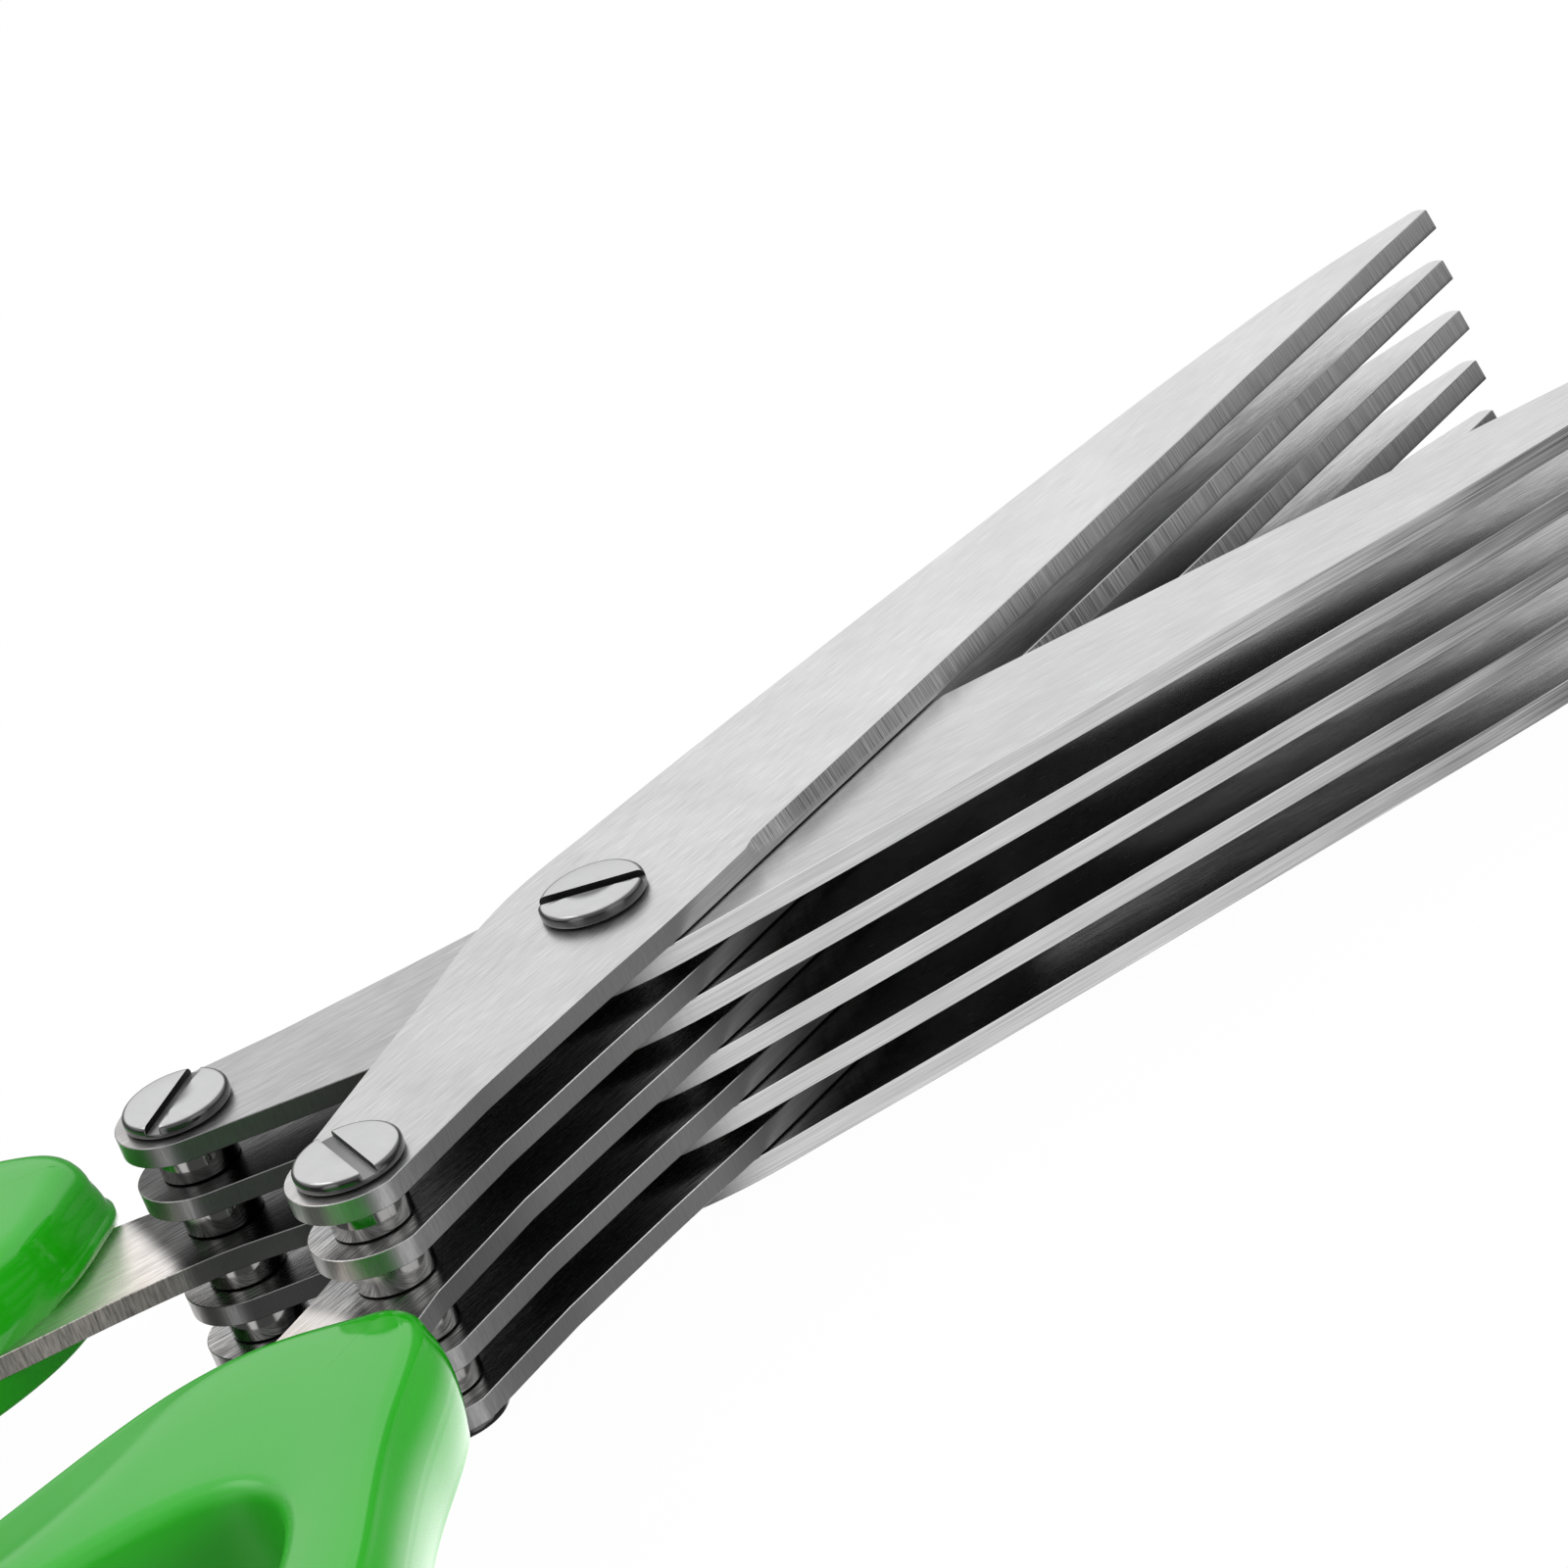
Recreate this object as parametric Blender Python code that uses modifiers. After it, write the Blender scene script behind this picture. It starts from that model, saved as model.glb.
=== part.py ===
"""Herb scissors: five pairs of steel plates on one pivot, with two moulded handles.

Side A carries the upper plate of each pair. Side B is side A turned over, and carries the lower one.
The middle plate of each side runs on behind its rear pin as a tang, and the handle is moulded round it.

+Z is the pivot's axis and +X points out between the tips. The origin is on the pivot's axis, at the
underside of the pivot's sleeve nut. Each side is drawn in its own frame, with the tips at +X, the
cutting edges at -Y and z = 0 in the middle of the stack. Lengths are in metres, angles in degrees.
"""

import math

import bmesh
import bpy
import numpy as np

# The stack of plates
PLATE_THICKNESS = 0.0015
PAIR_COUNT = 5
PIVOT_SPACER_THICKNESS = 0.0007
FACE_CLEARANCE = 0.0001
FIT_CLEARANCE = 0.0001
HALF_OPENING = 10.0

# A blade plate, from the pivot forward
BLADE_REACH = 0.0889
SPINE_OFFSET = 0.00725
EDGE_OFFSET = 0.00675
TIP_WIDTH = 0.0015
TIP_EDGE_RISE = 0.0008
GROUND_START = 0.0073
GROUND_INSET = 0.0004
GROUND_RUNOUT = 0.0017
EDGE_LAND = 0.0001

# A blade plate, from the pivot back to its rear pin
REAR_PIN_BACK = 0.0283
REAR_PIN_OFFSET = 0.0059
ARM_END_RADIUS = 0.0043
ARM_SPINE_ANGLE = 108.0
ARM_EDGE_ANGLE = 262.0

# The tang of a middle plate
TANG_WIDTH = 0.0100
TANG_SPINE_OFFSET = 0.0023
TANG_LENGTH = 0.0275

# The pins
HEAD_RADIUS = 0.00355
HEAD_HEIGHT = 0.0009
HEAD_FILLET = 0.00025
SLOT_WIDTH = 0.0010
SLOT_DEPTH = 0.0005
SLEEVE_RADIUS = 0.0020
SLEEVE_WALL = 0.0007
REAR_SPACER_RADIUS = 0.0026
PIVOT_SPACER_RADIUS = 0.0042
SPACER_CHAMFER = 0.0001
PIVOT_SLOT_ANGLE = -40.0
REAR_SLOT_ANGLES = {"a": 70.0, "b": -42.0}

# A handle
HANDLE_THICKNESS = 0.00925
HANDLE_LIFT = 0.0005
HANDLE_LENGTH = 0.0722
HANDLE_DEPTH = 0.0399
HANDLE_INNER_OFFSET = 0.0016
HANDLE_NOSE_GAP = 0.0008
HANDLE_SHOULDER = 0.0010
HANDLE_NOSE_SHOULDER = 0.0024
HANDLE_LOWER_EDGE = 0.0025
HANDLE_BULGE = 0.0005
HANDLE_CROWN = 0.0003
STRIP_WIDTH = 0.0020
STRIP_DROP = 0.0007
FINGER_HOLE_LENGTH = 0.0465
FINGER_HOLE_WIDTH = 0.0232
FINGER_HOLE_TILT = 8.0
FINGER_HOLE_ROLL = 0.0013

# Added to a cutter where it runs past what it cuts, and the distance at which points are one
CUT_OVERRUN = 0.0010
WELD_DISTANCE = 0.0000001

# How finely round shapes are drawn
PIN_STEPS = 24
SPACER_STEPS = 20
FILLET_STEPS = 3
ARC_STEPS = 10
RUN_STEPS = 3
OUTLINE_STEPS = 3

# Shares chosen by eye: along BLADE_REACH and of SPINE_OFFSET, from the tip to the pivot
SPINE_SHARES = ((0.905, 0.54), (0.74, 0.75), (0.51, 0.87), (0.28, 0.97), (0.09, 1.01), (-0.017, 0.98))
# Back along REAR_PIN_BACK and of SPINE_OFFSET, from the pivot to the rear pin
ARM_SPINE_SHARES = ((0.21, 0.84), (0.39, 0.59), (0.69, 0.21))
# Back along REAR_PIN_BACK and of EDGE_OFFSET, from the rear pin to the pivot
ARM_EDGE_SHARES = ((0.69, 1.30), (0.31, 1.18), (0.0, 1.11))
# Back along TANG_LENGTH and across TANG_WIDTH, round the tang from its spine side
TANG_SHARES = (
    (-0.30, -0.28),
    (-0.12, -0.08),
    (0.0, 0.0),
    (0.12, 0.06),
    (0.45, 0.18),
    (0.75, 0.32),
    (1.0, 0.40),
    (1.0, 0.66),
    (0.95, 0.74),
    (0.66, 0.81),
    (0.42, 1.02),
    (0.20, 1.10),
    (0.02, 0.97),
    (-0.16, 0.81),
)
# Back along HANDLE_LENGTH, out across HANDLE_DEPTH, how much of the strip there is, and how much the
# shoulder is rounded as at the nose
HANDLE_SHARES = (
    (-0.003, 0.305, 0.0, 0.9),
    (0.002, 0.268, 0.0, 1.0),
    (0.018, 0.238, 0.0, 1.0),
    (0.056, 0.168, 0.0, 1.0),
    (0.101, 0.109, 0.1, 0.8),
    (0.166, 0.063, 0.4, 0.5),
    (0.242, 0.038, 0.8, 0.2),
    (0.350, 0.022, 1.0, 0.0),
    (0.510, 0.000, 1.0, 0.0),
    (0.675, 0.015, 1.0, 0.0),
    (0.825, 0.085, 0.9, 0.0),
    (0.940, 0.240, 0.5, 0.0),
    (1.000, 0.470, 0.1, 0.0),
    (0.980, 0.700, 0.0, 0.0),
    (0.895, 0.870, 0.0, 0.0),
    (0.765, 0.970, 0.0, 0.0),
    (0.605, 1.000, 0.0, 0.0),
    (0.440, 0.922, 0.0, 0.0),
    (0.299, 0.778, 0.0, 0.0),
    (0.209, 0.641, 0.0, 0.0),
    (0.125, 0.522, 0.0, 0.0),
    (0.047, 0.430, 0.0, 0.1),
    (0.005, 0.360, 0.0, 0.5),
)
FINGER_HOLE_CENTRE_SHARES = (0.573, 0.514)
FINGER_HOLE_EGG_SHARE = 0.20
# The handle's wall from its widest line out: in by HANDLE_BULGE, and on to where its rounded edge starts
WALL_SHARES = ((0.0, 0.0), (0.4, 0.6), (1.0, 1.0))
EDGE_TURNS = (30.0, 60.0)
ROLL_TURNS = (0.0, 45.0, 90.0)
# How far the hidden inner rim of a screw's head is rounded, and how far its shank reaches down the sleeve
RIM_SHARE = 0.5
SHANK_SHARE = 0.6

# Heights that follow from the stack
PAIR_HEIGHT = 2 * PLATE_THICKNESS + FACE_CLEARANCE
PAIR_GAP = PIVOT_SPACER_THICKNESS + 2 * FACE_CLEARANCE
PITCH = PAIR_HEIGHT + PAIR_GAP
STACK_HEIGHT = PAIR_COUNT * PAIR_HEIGHT + (PAIR_COUNT - 1) * PAIR_GAP
STACK_MIDDLE = HEAD_HEIGHT + FACE_CLEARANCE + STACK_HEIGHT / 2
SIDE_HEIGHT = (PAIR_COUNT - 1) * PITCH + PLATE_THICKNESS
REAR_SPACER_THICKNESS = PITCH - PLATE_THICKNESS - 2 * FACE_CLEARANCE
MIDDLE_PLATE = PAIR_COUNT // 2
BORE_RADIUS = SLEEVE_RADIUS + FIT_CLEARANCE
HANDLE_NOSE = REAR_PIN_BACK + ARM_END_RADIUS + HANDLE_NOSE_GAP
SHARP_ANGLE = math.radians(28)


def clear_scene():
    """Removes what the scene holds at the start."""
    for obj in list(bpy.data.objects):
        bpy.data.objects.remove(obj, do_unlink=True)


def new_collection(name):
    """A collection in the scene."""
    collection = bpy.data.collections.new(name)
    bpy.context.scene.collection.children.link(collection)
    return collection


def material(name, colour, metallic, roughness):
    """A Principled material of one colour."""
    made = bpy.data.materials.new(name)
    made.use_nodes = True
    shader = made.node_tree.nodes["Principled BSDF"]
    shader.inputs["Base Color"].default_value = (*colour, 1.0)
    shader.inputs["Metallic"].default_value = metallic
    shader.inputs["Roughness"].default_value = roughness
    made.diffuse_color = (*colour, 1.0)
    return made


def steel_material():
    return material("brushed_steel", (0.68, 0.68, 0.67), 1.0, 0.34)


def screw_material():
    return material("bright_screw", (0.74, 0.74, 0.73), 1.0, 0.16)


def spacer_material():
    return material("polished_spacer", (0.42, 0.41, 0.40), 1.0, 0.22)


def handle_material():
    return material("green_handle", (0.05, 0.48, 0.03), 0.0, 0.22)


def polar(radius, degrees):
    """A point in the plane at this distance and angle."""
    angle = math.radians(degrees)
    return np.array([radius * math.cos(angle), radius * math.sin(angle)])


def arc(centre, radius, start, stop, steps):
    """Points along an arc, both ends included."""
    return [np.array(centre) + polar(radius, a) for a in np.linspace(start, stop, steps + 1)]


def circle(centre, radius, steps):
    """Points round a circle."""
    return arc(centre, radius, 0.0, 360.0, steps)[:-1]


def smooth(points, steps, closed):
    """Points along a smooth curve through the given ones. Each tangent is weighed by the chords beside it."""
    p = np.array(points, float)
    if closed:
        before, after = np.roll(p, 1, 0), np.roll(p, -1, 0)
    else:
        before = np.vstack([2 * p[0] - p[1], p[:-1]])
        after = np.vstack([p[1:], 2 * p[-1] - p[-2]])
    back = np.linalg.norm((p - before)[:, :2], axis=1)[:, None]
    ahead = np.linalg.norm((after - p)[:, :2], axis=1)[:, None]
    tangent = ((after - p) / ahead * back + (p - before) / back * ahead) / (back + ahead)
    t = np.linspace(0.0, 1.0, steps, endpoint=False)[None, :, None]
    start, stop = p[:, None], after[:, None]
    leave, arrive = (tangent * ahead)[:, None], (np.roll(tangent, -1, 0) * ahead)[:, None]
    curve = (
        start * (2 * t**3 - 3 * t**2 + 1)
        + leave * (t**3 - 2 * t**2 + t)
        + stop * (3 * t**2 - 2 * t**3)
        + arrive * (t**3 - t**2)
    )
    if closed:
        return list(curve.reshape(-1, p.shape[1]))
    return list(curve[:-1].reshape(-1, p.shape[1])) + [p[-1]]


def normals(loop):
    """The left-hand normal at each point of a closed loop."""
    loop = np.array(loop)
    tangent = np.roll(loop, -1, 0) - np.roll(loop, 1, 0)
    tangent /= np.linalg.norm(tangent, axis=1)[:, None]
    return np.stack([-tangent[:, 1], tangent[:, 0]], axis=1)


def flat_plate(name, loops, thickness):
    """A mesh object: the first loop filled, less the others, and centred on z = 0."""
    curve = bpy.data.curves.new(name, "CURVE")
    curve.dimensions = "2D"
    curve.fill_mode = "BOTH"
    curve.extrude = thickness / 2
    for loop in loops:
        spline = curve.splines.new("POLY")
        spline.points.add(len(loop) - 1)
        for point, (x, y) in zip(spline.points, loop):
            point.co = (x, y, 0.0, 1.0)
        spline.use_cyclic_u = True
    guide = bpy.data.objects.new(name, curve)
    bpy.context.scene.collection.objects.link(guide)
    mesh = evaluated_mesh(guide)
    bpy.data.objects.remove(guide)
    weld(mesh)
    return new_object(name, mesh)


def weld(mesh):
    """Joins the mesh's loose caps to its walls, and turns its faces outward."""
    solid = bmesh.new()
    solid.from_mesh(mesh)
    bmesh.ops.remove_doubles(solid, verts=solid.verts, dist=WELD_DISTANCE)
    bmesh.ops.recalc_face_normals(solid, faces=solid.faces)
    solid.to_mesh(mesh)
    solid.free()


def new_object(name, mesh):
    """An object in the scene that holds this mesh."""
    obj = bpy.data.objects.new(name, mesh)
    bpy.context.scene.collection.objects.link(obj)
    return obj


def evaluated_mesh(obj):
    """The mesh that the object's modifiers or curve make."""
    graph = bpy.context.evaluated_depsgraph_get()
    return bpy.data.meshes.new_from_object(obj.evaluated_get(graph))


def turned(name, profile, steps, closed=False):
    """A profile of (radius, height) points turned round the z axis."""
    mesh = bpy.data.meshes.new(name)
    count = len(profile)
    edges = [(i, (i + 1) % count) for i in range(count if closed else count - 1)]
    mesh.from_pydata([(radius, 0.0, height) for radius, height in profile], edges, [])
    obj = new_object(name, mesh)
    screw = obj.modifiers.new("turn", "SCREW")
    screw.axis = "Z"
    screw.steps = steps
    screw.render_steps = steps
    screw.use_merge_vertices = True
    screw.merge_threshold = WELD_DISTANCE
    return obj


def cut(obj, cutter):
    """Takes the cutter's shape out of the object, and keeps the cutter itself out of the picture."""
    boolean = obj.modifiers.new("cut", "BOOLEAN")
    boolean.operation = "DIFFERENCE"
    boolean.solver = "EXACT"
    boolean.object = cutter
    cutter.hide_render = True
    cutter.display_type = "WIRE"


def settled_mesh(obj, finish):
    """The object's evaluated mesh, smooth between sharp edges. The object and its cutters are removed."""
    bpy.context.view_layer.update()
    mesh = evaluated_mesh(obj)
    mesh.name = obj.name
    mesh.materials.clear()
    mesh.materials.append(finish)
    mesh.shade_smooth()
    mesh.set_sharp_from_angle(angle=SHARP_ANGLE)
    for modifier in obj.modifiers:
        if modifier.type == "BOOLEAN":
            bpy.data.objects.remove(modifier.object)
    bpy.data.objects.remove(obj)
    return mesh


def hull(name, points):
    """A mesh object of the convex solid round some points."""
    solid = bmesh.new()
    for point in points:
        solid.verts.new(point)
    bmesh.ops.convex_hull(solid, input=solid.verts)
    bmesh.ops.recalc_face_normals(solid, faces=solid.faces)
    mesh = bpy.data.meshes.new(name)
    solid.to_mesh(mesh)
    solid.free()
    return new_object(name, mesh)


def rear_pin():
    """The rear pin's place in a side's frame."""
    return np.array([-REAR_PIN_BACK, -REAR_PIN_OFFSET])


def ground_line():
    """Where the ground stretch of the cutting edge starts and stops."""
    return np.array([GROUND_START, -EDGE_OFFSET]), np.array([BLADE_REACH, TIP_EDGE_RISE])


def front_outline():
    """The outline from the ground edge's start, round the tip and back along the spine to the rear arm."""
    start, tip = ground_line()
    corner = np.array([BLADE_REACH, TIP_EDGE_RISE + TIP_WIDTH])
    spine = [corner]
    spine += [(x * BLADE_REACH, y * SPINE_OFFSET) for x, y in SPINE_SHARES]
    spine += [(-x * REAR_PIN_BACK, y * SPINE_OFFSET) for x, y in ARM_SPINE_SHARES]
    return [start, tip] + smooth(spine, RUN_STEPS, False)


def edge_side():
    """The cutting side of the rear arm, from the rear pin towards the ground edge."""
    return [(-x * REAR_PIN_BACK, -y * EDGE_OFFSET) for x, y in ARM_EDGE_SHARES]


def plain_outline():
    """A plain plate, with a round end about its rear pin."""
    end = arc(rear_pin(), ARM_END_RADIUS, ARM_SPINE_ANGLE, ARM_EDGE_ANGLE, ARC_STEPS)
    return front_outline() + end + edge_side()


def tang_end():
    """The points of the tang, from its spine side round its tail to its cutting side."""
    return [
        (-HANDLE_NOSE - x * TANG_LENGTH, -TANG_SPINE_OFFSET - y * TANG_WIDTH) for x, y in TANG_SHARES
    ]


def tang_outline():
    """A middle plate, whose arm runs on as the tang."""
    return front_outline() + tang_end() + edge_side()


def ground_cutter():
    """The wedge that grinding takes from the cutting edge. Its start slants, where the grinding runs out."""
    start, tip = ground_line()
    along = (tip - start) / np.linalg.norm(tip - start)
    inward = np.array([-along[1], along[0]])
    low = EDGE_LAND - PLATE_THICKNESS / 2
    slope = (PLATE_THICKNESS - EDGE_LAND) / GROUND_INSET
    top = PLATE_THICKNESS / 2 + CUT_OVERRUN
    section = (
        (-CUT_OVERRUN, low - CUT_OVERRUN * slope),
        (-CUT_OVERRUN, top),
        ((top - low) / slope, top),
    )
    length = np.linalg.norm(tip - start) + CUT_OVERRUN
    points = []
    for offset, height in section:
        runout = offset * GROUND_RUNOUT / GROUND_INSET
        for distance in (runout, length):
            x, y = start + along * distance + inward * offset
            points.append((x, y, height))
    return hull("ground_cutter", points)


def plate_mesh(name, outline, finish):
    """A plate with its two bores and its ground edge."""
    bores = [circle(centre, BORE_RADIUS, PIN_STEPS) for centre in ((0.0, 0.0), rear_pin())]
    plate = flat_plate(name, [outline, *bores], PLATE_THICKNESS)
    cut(plate, ground_cutter())
    return settled_mesh(plate, finish)


def head_profile(length):
    """Half of a screw: its head above z = 0 and its shank below, from the top down."""
    shank = SLEEVE_RADIUS - SLEEVE_WALL - FIT_CLEARANCE
    centre = (HEAD_RADIUS - HEAD_FILLET, HEAD_HEIGHT - HEAD_FILLET)
    rim = arc(centre, HEAD_FILLET, 90.0, 0.0, FILLET_STEPS)
    foot = RIM_SHARE * HEAD_FILLET
    under = [(HEAD_RADIUS, foot), (HEAD_RADIUS - foot, 0.0), (shank, 0.0)]
    return [(0.0, HEAD_HEIGHT), *rim, *under, (shank, -length), (0.0, -length)]


def screw_mesh(name, stack, finish):
    """A slotted cheese-head screw, whose shank reaches part way down its sleeve."""
    screw = turned(name, head_profile(SHANK_SHARE * stack), PIN_STEPS)
    slot = hull(
        "slot_cutter",
        [
            (x * (HEAD_RADIUS + CUT_OVERRUN), y * SLOT_WIDTH / 2, HEAD_HEIGHT + z)
            for x in (-1, 1)
            for y in (-1, 1)
            for z in (-SLOT_DEPTH, CUT_OVERRUN)
        ],
    )
    cut(screw, slot)
    return settled_mesh(screw, finish)


def sleeve_mesh(name, stack, finish):
    """A sleeve nut: a flange below z = 0, and a tube that ends below the screw's head."""
    bore = SLEEVE_RADIUS - SLEEVE_WALL
    top = stack - FACE_CLEARANCE
    foot = RIM_SHARE * HEAD_FILLET
    tube = [(0.0, 0.0), (bore, 0.0), (bore, top), (SLEEVE_RADIUS, top), (SLEEVE_RADIUS, 0.0)]
    flange = [(HEAD_RADIUS - foot, 0.0), (HEAD_RADIUS, -foot)]
    centre = (HEAD_RADIUS - HEAD_FILLET, HEAD_FILLET - HEAD_HEIGHT)
    rim = arc(centre, HEAD_FILLET, 0.0, -90.0, FILLET_STEPS)
    profile = [*tube, *flange, *rim, (0.0, -HEAD_HEIGHT)]
    return settled_mesh(turned(name, profile, PIN_STEPS), finish)


def spacer_mesh(name, radius, thickness, finish):
    """A spacer about a sleeve, centred on z = 0, with its outer rims broken."""
    half = thickness / 2
    profile = [
        (radius - SPACER_CHAMFER, half),
        (radius, half - SPACER_CHAMFER),
        (radius, SPACER_CHAMFER - half),
        (radius - SPACER_CHAMFER, -half),
        (BORE_RADIUS, -half),
        (BORE_RADIUS, half),
    ]
    return settled_mesh(turned(name, profile, SPACER_STEPS, closed=True), finish)


def handle_outline():
    """The handle's widest outline, and the shares of the strip and of the nose's shoulder along it."""
    points = [
        (-HANDLE_NOSE - x * HANDLE_LENGTH, -HANDLE_INNER_OFFSET - y * HANDLE_DEPTH, strip, nose)
        for x, y, strip, nose in HANDLE_SHARES
    ]
    loop = np.array(smooth(points, OUTLINE_STEPS, True))
    strip, nose = np.clip(loop[:, 2:], 0.0, 1.0).T
    return loop[:, :2], strip, nose


def finger_hole(outline):
    """The finger hole's egg-shaped loop, with one point facing each point of the outline."""
    x, y = FINGER_HOLE_CENTRE_SHARES
    centre = np.array([-HANDLE_NOSE - x * HANDLE_LENGTH, -HANDLE_INNER_OFFSET - y * HANDLE_DEPTH])
    long_axis = polar(1, FINGER_HOLE_TILT)
    cross_axis = polar(1, FINGER_HOLE_TILT + 90)
    reach = (outline - centre) @ np.stack([long_axis, cross_axis], axis=1)
    turn = np.arctan2(reach[:, 1] / HANDLE_DEPTH, reach[:, 0] / HANDLE_LENGTH)
    along = FINGER_HOLE_LENGTH / 2 * np.cos(turn)
    across = FINGER_HOLE_WIDTH / 2 * (1 - FINGER_HOLE_EGG_SHARE * np.cos(turn)) * np.sin(turn)
    return centre + along[:, None] * long_axis + across[:, None] * cross_axis


def wall_columns(outline, edge, strip):
    """One half of the handle's outer wall, as grid columns from its widest line to its face.

    The wall leans in and turns over a rounded edge. Where there is a strip, a slope leads up to the face.
    """
    inward = normals(outline)
    half = HANDLE_THICKNESS / 2
    drop = STRIP_DROP * strip
    wall = [(HANDLE_BULGE * inset, rise * (half - edge - drop)) for inset, rise in WALL_SHARES]
    for turn in np.radians(EDGE_TURNS):
        lean, fall = 1 - np.cos(turn), 1 - np.sin(turn)
        wall.append((HANDLE_BULGE + edge * lean, half - drop - edge * fall))
    wall.append((HANDLE_BULGE + edge + STRIP_WIDTH * strip, half))
    level = np.zeros(len(outline))
    columns = []
    for inset, height in wall:
        columns.append(np.column_stack([outline + inward * (inset + level)[:, None], height + level]))
    return columns


def face_columns(rim, hole):
    """A face of the handle, from its rim in: slightly crowned, and rolled over into the finger hole."""
    half = HANDLE_THICKNESS / 2
    roll = []
    for turn in np.radians(ROLL_TURNS):
        edge = hole - normals(hole) * FINGER_HOLE_ROLL * (1 - np.sin(turn))
        height = half - FINGER_HOLE_ROLL * (1 - np.cos(turn))
        roll.append(np.column_stack([edge, np.full(len(hole), height)]))
    crown = (rim + roll[0]) / 2
    crown[:, 2] += HANDLE_CROWN
    return [crown, *roll]


def handle_grid():
    """The handle's section at each station round the finger hole, the widest line first."""
    outline, strip, nose = handle_outline()
    hole = finger_hole(outline)
    shoulder = HANDLE_SHOULDER + (HANDLE_NOSE_SHOULDER - HANDLE_SHOULDER) * nose
    upper = wall_columns(outline, shoulder, strip)
    upper += face_columns(upper[-1], hole)
    lower = wall_columns(outline, HANDLE_LOWER_EDGE, 0 * strip)
    lower += face_columns(lower[-1], hole)
    throat = np.column_stack([hole, np.zeros(len(hole))])
    underside = [column * (1, 1, -1) for column in reversed(lower[1:])]
    return np.array([*upper, throat, *underside])


def handle_mesh(finish, up):
    """A handle: its section carried round the finger hole, less the pocket for the tang. Up is 1 or -1."""
    grid = (handle_grid() + (0.0, 0.0, HANDLE_LIFT)) * (1, 1, up)
    sections, stations = grid.shape[:2]
    index = np.arange(sections * stations).reshape(sections, stations)
    corners = (index, np.roll(index, -1, 0), np.roll(np.roll(index, -1, 0), -1, 1), np.roll(index, -1, 1))
    faces = np.stack(corners, axis=-1).reshape(-1, 4)
    mesh = bpy.data.meshes.new("handle")
    mesh.from_pydata(grid.reshape(-1, 3).tolist(), [], faces.tolist())
    weld(mesh)
    handle = new_object("handle", mesh)
    tang = tang_end()
    pocket = np.array(tang) - normals(tang) * FIT_CLEARANCE
    cutter = flat_plate("pocket_cutter", [pocket], PLATE_THICKNESS + 2 * FIT_CLEARANCE)
    cutter.location.z = plate_height(MIDDLE_PLATE)
    cut(handle, cutter)
    return settled_mesh(handle, finish)


def plate_height(index):
    """The middle height of a plate in its side's frame, counted from the plate with its bevel outside."""
    return STACK_HEIGHT / 2 - PLATE_THICKNESS / 2 - index * PITCH


def frame(name, parts, flipped, turn):
    """An empty on the pivot's axis that carries a side. Side B's is turned over."""
    empty = bpy.data.objects.new(name, None)
    parts.objects.link(empty)
    empty.location.z = STACK_MIDDLE
    empty.rotation_euler = (math.pi if flipped else 0.0, 0.0, math.radians(turn))
    return empty


def place(name, mesh, parent, parts, location, rotation=(0.0, 0.0, 0.0)):
    """A named piece in its parent's frame."""
    piece = bpy.data.objects.new(name, mesh)
    parts.objects.link(piece)
    piece.parent = parent
    piece.location = location
    piece.rotation_euler = rotation
    return piece


def add_plates(side, empty, parts, plain, middle):
    """The five plates of a side, numbered from the top."""
    for index in range(PAIR_COUNT):
        number = PAIR_COUNT - index if side == "b" else index + 1
        mesh = middle if index == MIDDLE_PLATE else plain
        place(f"blade_{side}{number}", mesh, empty, parts, (0.0, 0.0, plate_height(index)))


def add_rear_pin(side, empty, parts, meshes):
    """A side's rear screw, sleeve nut and spacers. They stand upright on both sides."""
    x, y = rear_pin()
    up = -1 if side == "b" else 1
    flip = math.pi if side == "b" else 0.0
    middle = (plate_height(0) + plate_height(PAIR_COUNT - 1)) / 2
    reach = up * (SIDE_HEIGHT / 2 + FACE_CLEARANCE)
    slot = math.radians(REAR_SLOT_ANGLES[side])
    top, foot = (x, y, middle + reach), (x, y, middle - reach)
    place(f"rear_screw_{side}", meshes["rear_screw"], empty, parts, top, (flip, 0.0, slot))
    place(f"rear_sleeve_{side}", meshes["rear_sleeve"], empty, parts, foot, (flip, 0.0, 0.0))
    for gap in range(PAIR_COUNT - 1):
        height = middle + up * gap_height(gap)
        place(f"rear_spacer_{side}{gap + 1}", meshes["rear_spacer"], empty, parts, (x, y, height))


def gap_height(gap):
    """How far a gap between plates of one side, counted from the top, is above the middle one."""
    return ((PAIR_COUNT - 2) / 2 - gap) * PITCH


def add_pivot(parts, meshes):
    """The pivot's screw, sleeve nut and the spacers between the pairs, which side B carries."""
    high = HEAD_HEIGHT + STACK_HEIGHT + 2 * FACE_CLEARANCE
    slot = (0.0, 0.0, math.radians(PIVOT_SLOT_ANGLE))
    place("pivot_sleeve", meshes["pivot_sleeve"], None, parts, (0.0, 0.0, HEAD_HEIGHT))
    place("pivot_screw", meshes["pivot_screw"], None, parts, (0.0, 0.0, high), slot)
    for gap in range(PAIR_COUNT - 1):
        height = STACK_MIDDLE + gap_height(gap)
        place(f"pivot_spacer_{gap + 1}", meshes["pivot_spacer"], None, parts, (0.0, 0.0, height))


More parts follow.
